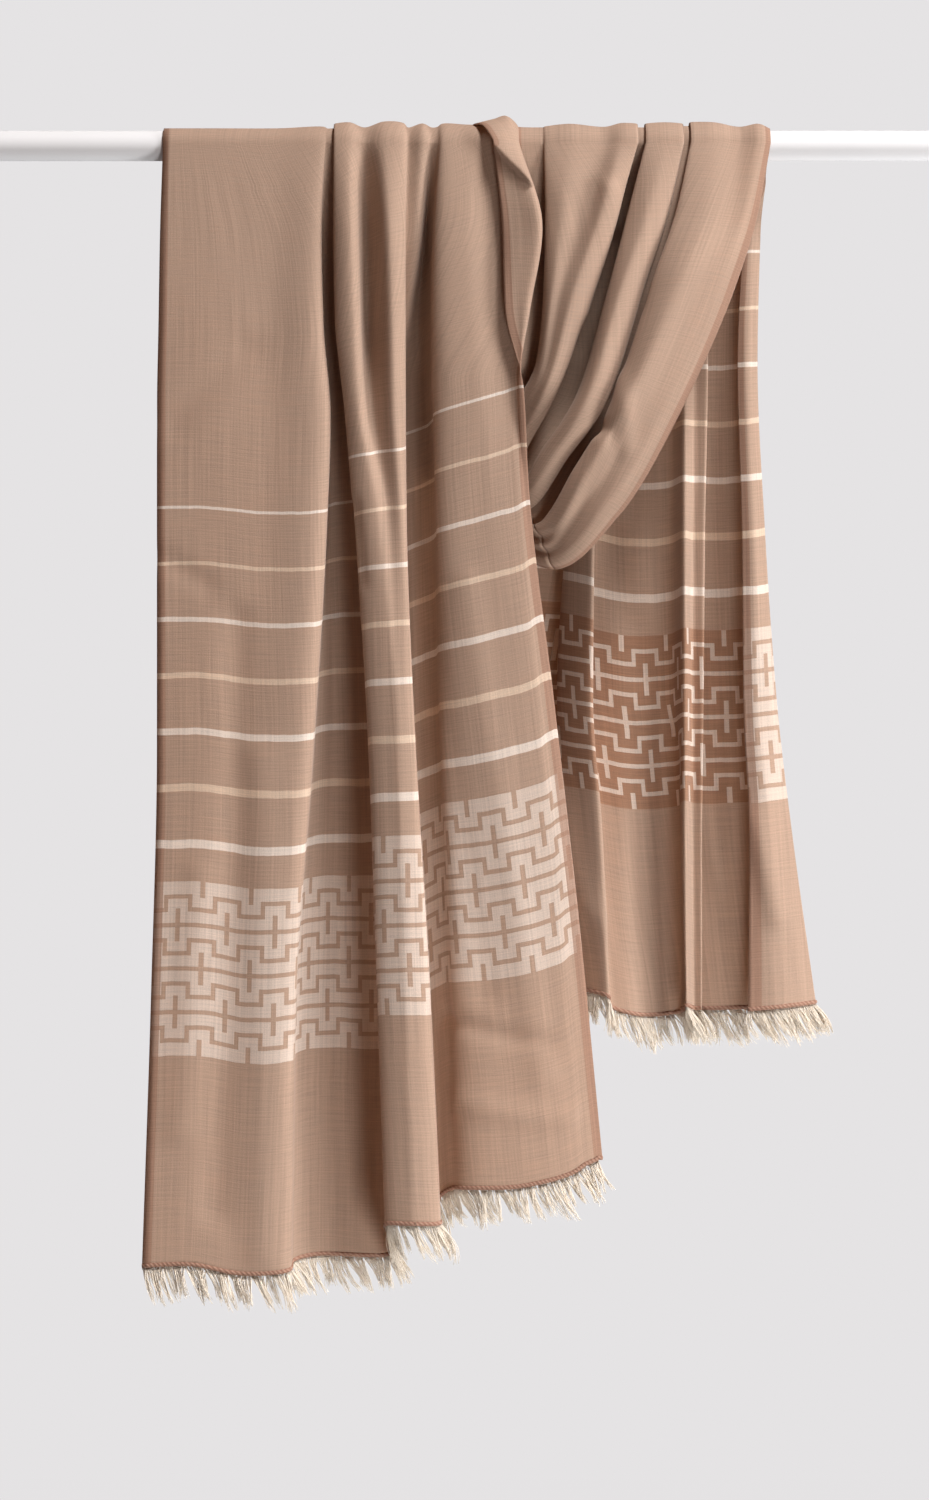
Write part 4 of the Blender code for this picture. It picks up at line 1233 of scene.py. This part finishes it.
class SHAWL_OT_stage(bpy.types.Operator):
    """Add the floor, the soft light and the camera."""

    bl_idname = "shawl.stage"
    bl_label = "Stage"

    def execute(self, context):
        scene = context.scene
        half = FLOOR_SIZE / 2
        mesh = bpy.data.meshes.new("floor")
        outline = ((-half, -half), (half, -half), (half, half), (-half, half))
        mesh.from_pydata([(x, y, FLOOR_HEIGHT) for x, y in outline], [], [(0, 1, 2, 3)])
        mesh.materials.append(finish_of(EMULSION, painted_floor))
        floor = bpy.data.objects.new("floor", mesh)
        scene.collection.objects.link(floor)
        world = bpy.data.worlds.new("pale studio")
        world.use_nodes = True
        tree = world.node_tree
        tree.nodes.clear()
        seen = add_node(tree, "ShaderNodeLightPath")["Is Camera Ray"]
        wall, fill = (
            add_node(tree, "ShaderNodeBackground", {"Color": (*linear(code), 1), "Strength": power})[0]
            for code, power in ((WALL, 1.0), (FILL, FILL_STRENGTH))
        )
        both = add_node(tree, "ShaderNodeMixShader", {"Fac": seen, 1: fill, 2: wall})[0]
        add_node(tree, "ShaderNodeOutputWorld", {"Surface": both})
        scene.world = world
        for name, place, aim, size, energy in LIGHTS:
            data = bpy.data.lights.new(name, "AREA")
            data.shape = "DISK"
            data.size = size
            data.energy = energy
            light = bpy.data.objects.new(name, data)
            light.location = place
            aimed(light, aim)
            scene.collection.objects.link(light)
        lens = bpy.data.cameras.new("camera")
        lens.sensor_fit = "VERTICAL"
        lens.sensor_height = SENSOR_HEIGHT
        lens.lens = SENSOR_HEIGHT * VIEW_DISTANCE / VIEW_FIELD
        camera = bpy.data.objects.new("camera", lens)
        camera.location = (0, -VIEW_DISTANCE * MM, VIEW_HEIGHT * MM)
        camera.rotation_euler = (np.pi / 2, 0, 0)
        scene.collection.objects.link(camera)
        scene.camera = camera
        scene.view_settings.view_transform = "Standard"
        return {"FINISHED"}


class SHAWL_PT_panel(bpy.types.Panel):
    """Lists the pieces of the shawl, its sizes and its colours."""

    bl_idname = "SHAWL_PT_panel"
    bl_label = "Merino shawl"
    bl_space_type = "VIEW_3D"
    bl_region_type = "UI"
    bl_category = "Shawl"

    def draw(self, context):
        for group in (context.scene.shawl_sizes, context.scene.shawl_colours):
            box = self.layout.box()
            for name in group.__annotations__:
                box.prop(group, name)
        for step in STEPS:
            self.layout.operator(step.bl_idname)


STEPS = (
    SHAWL_OT_stage,
    SHAWL_OT_rail,
    SHAWL_OT_front_fall,
    SHAWL_OT_loop,
    SHAWL_OT_back_fall,
    SHAWL_OT_fringes,
)
CLASSES = (ShawlSizes, ShawlColours, *STEPS, SHAWL_PT_panel)


def register():
    for item in CLASSES:
        bpy.utils.register_class(item)
    bpy.types.Scene.shawl_sizes = PointerProperty(type=ShawlSizes)
    bpy.types.Scene.shawl_colours = PointerProperty(type=ShawlColours)


def unregister():
    del bpy.types.Scene.shawl_colours
    del bpy.types.Scene.shawl_sizes
    for item in reversed(CLASSES):
        bpy.utils.unregister_class(item)


def main():
    register()
    bpy.ops.shawl.stage()
    bpy.ops.shawl.rail()
    bpy.ops.shawl.front_fall()
    bpy.ops.shawl.loop()
    bpy.ops.shawl.back_fall()
    bpy.ops.shawl.fringes()


if __name__ == "__main__":
    main()
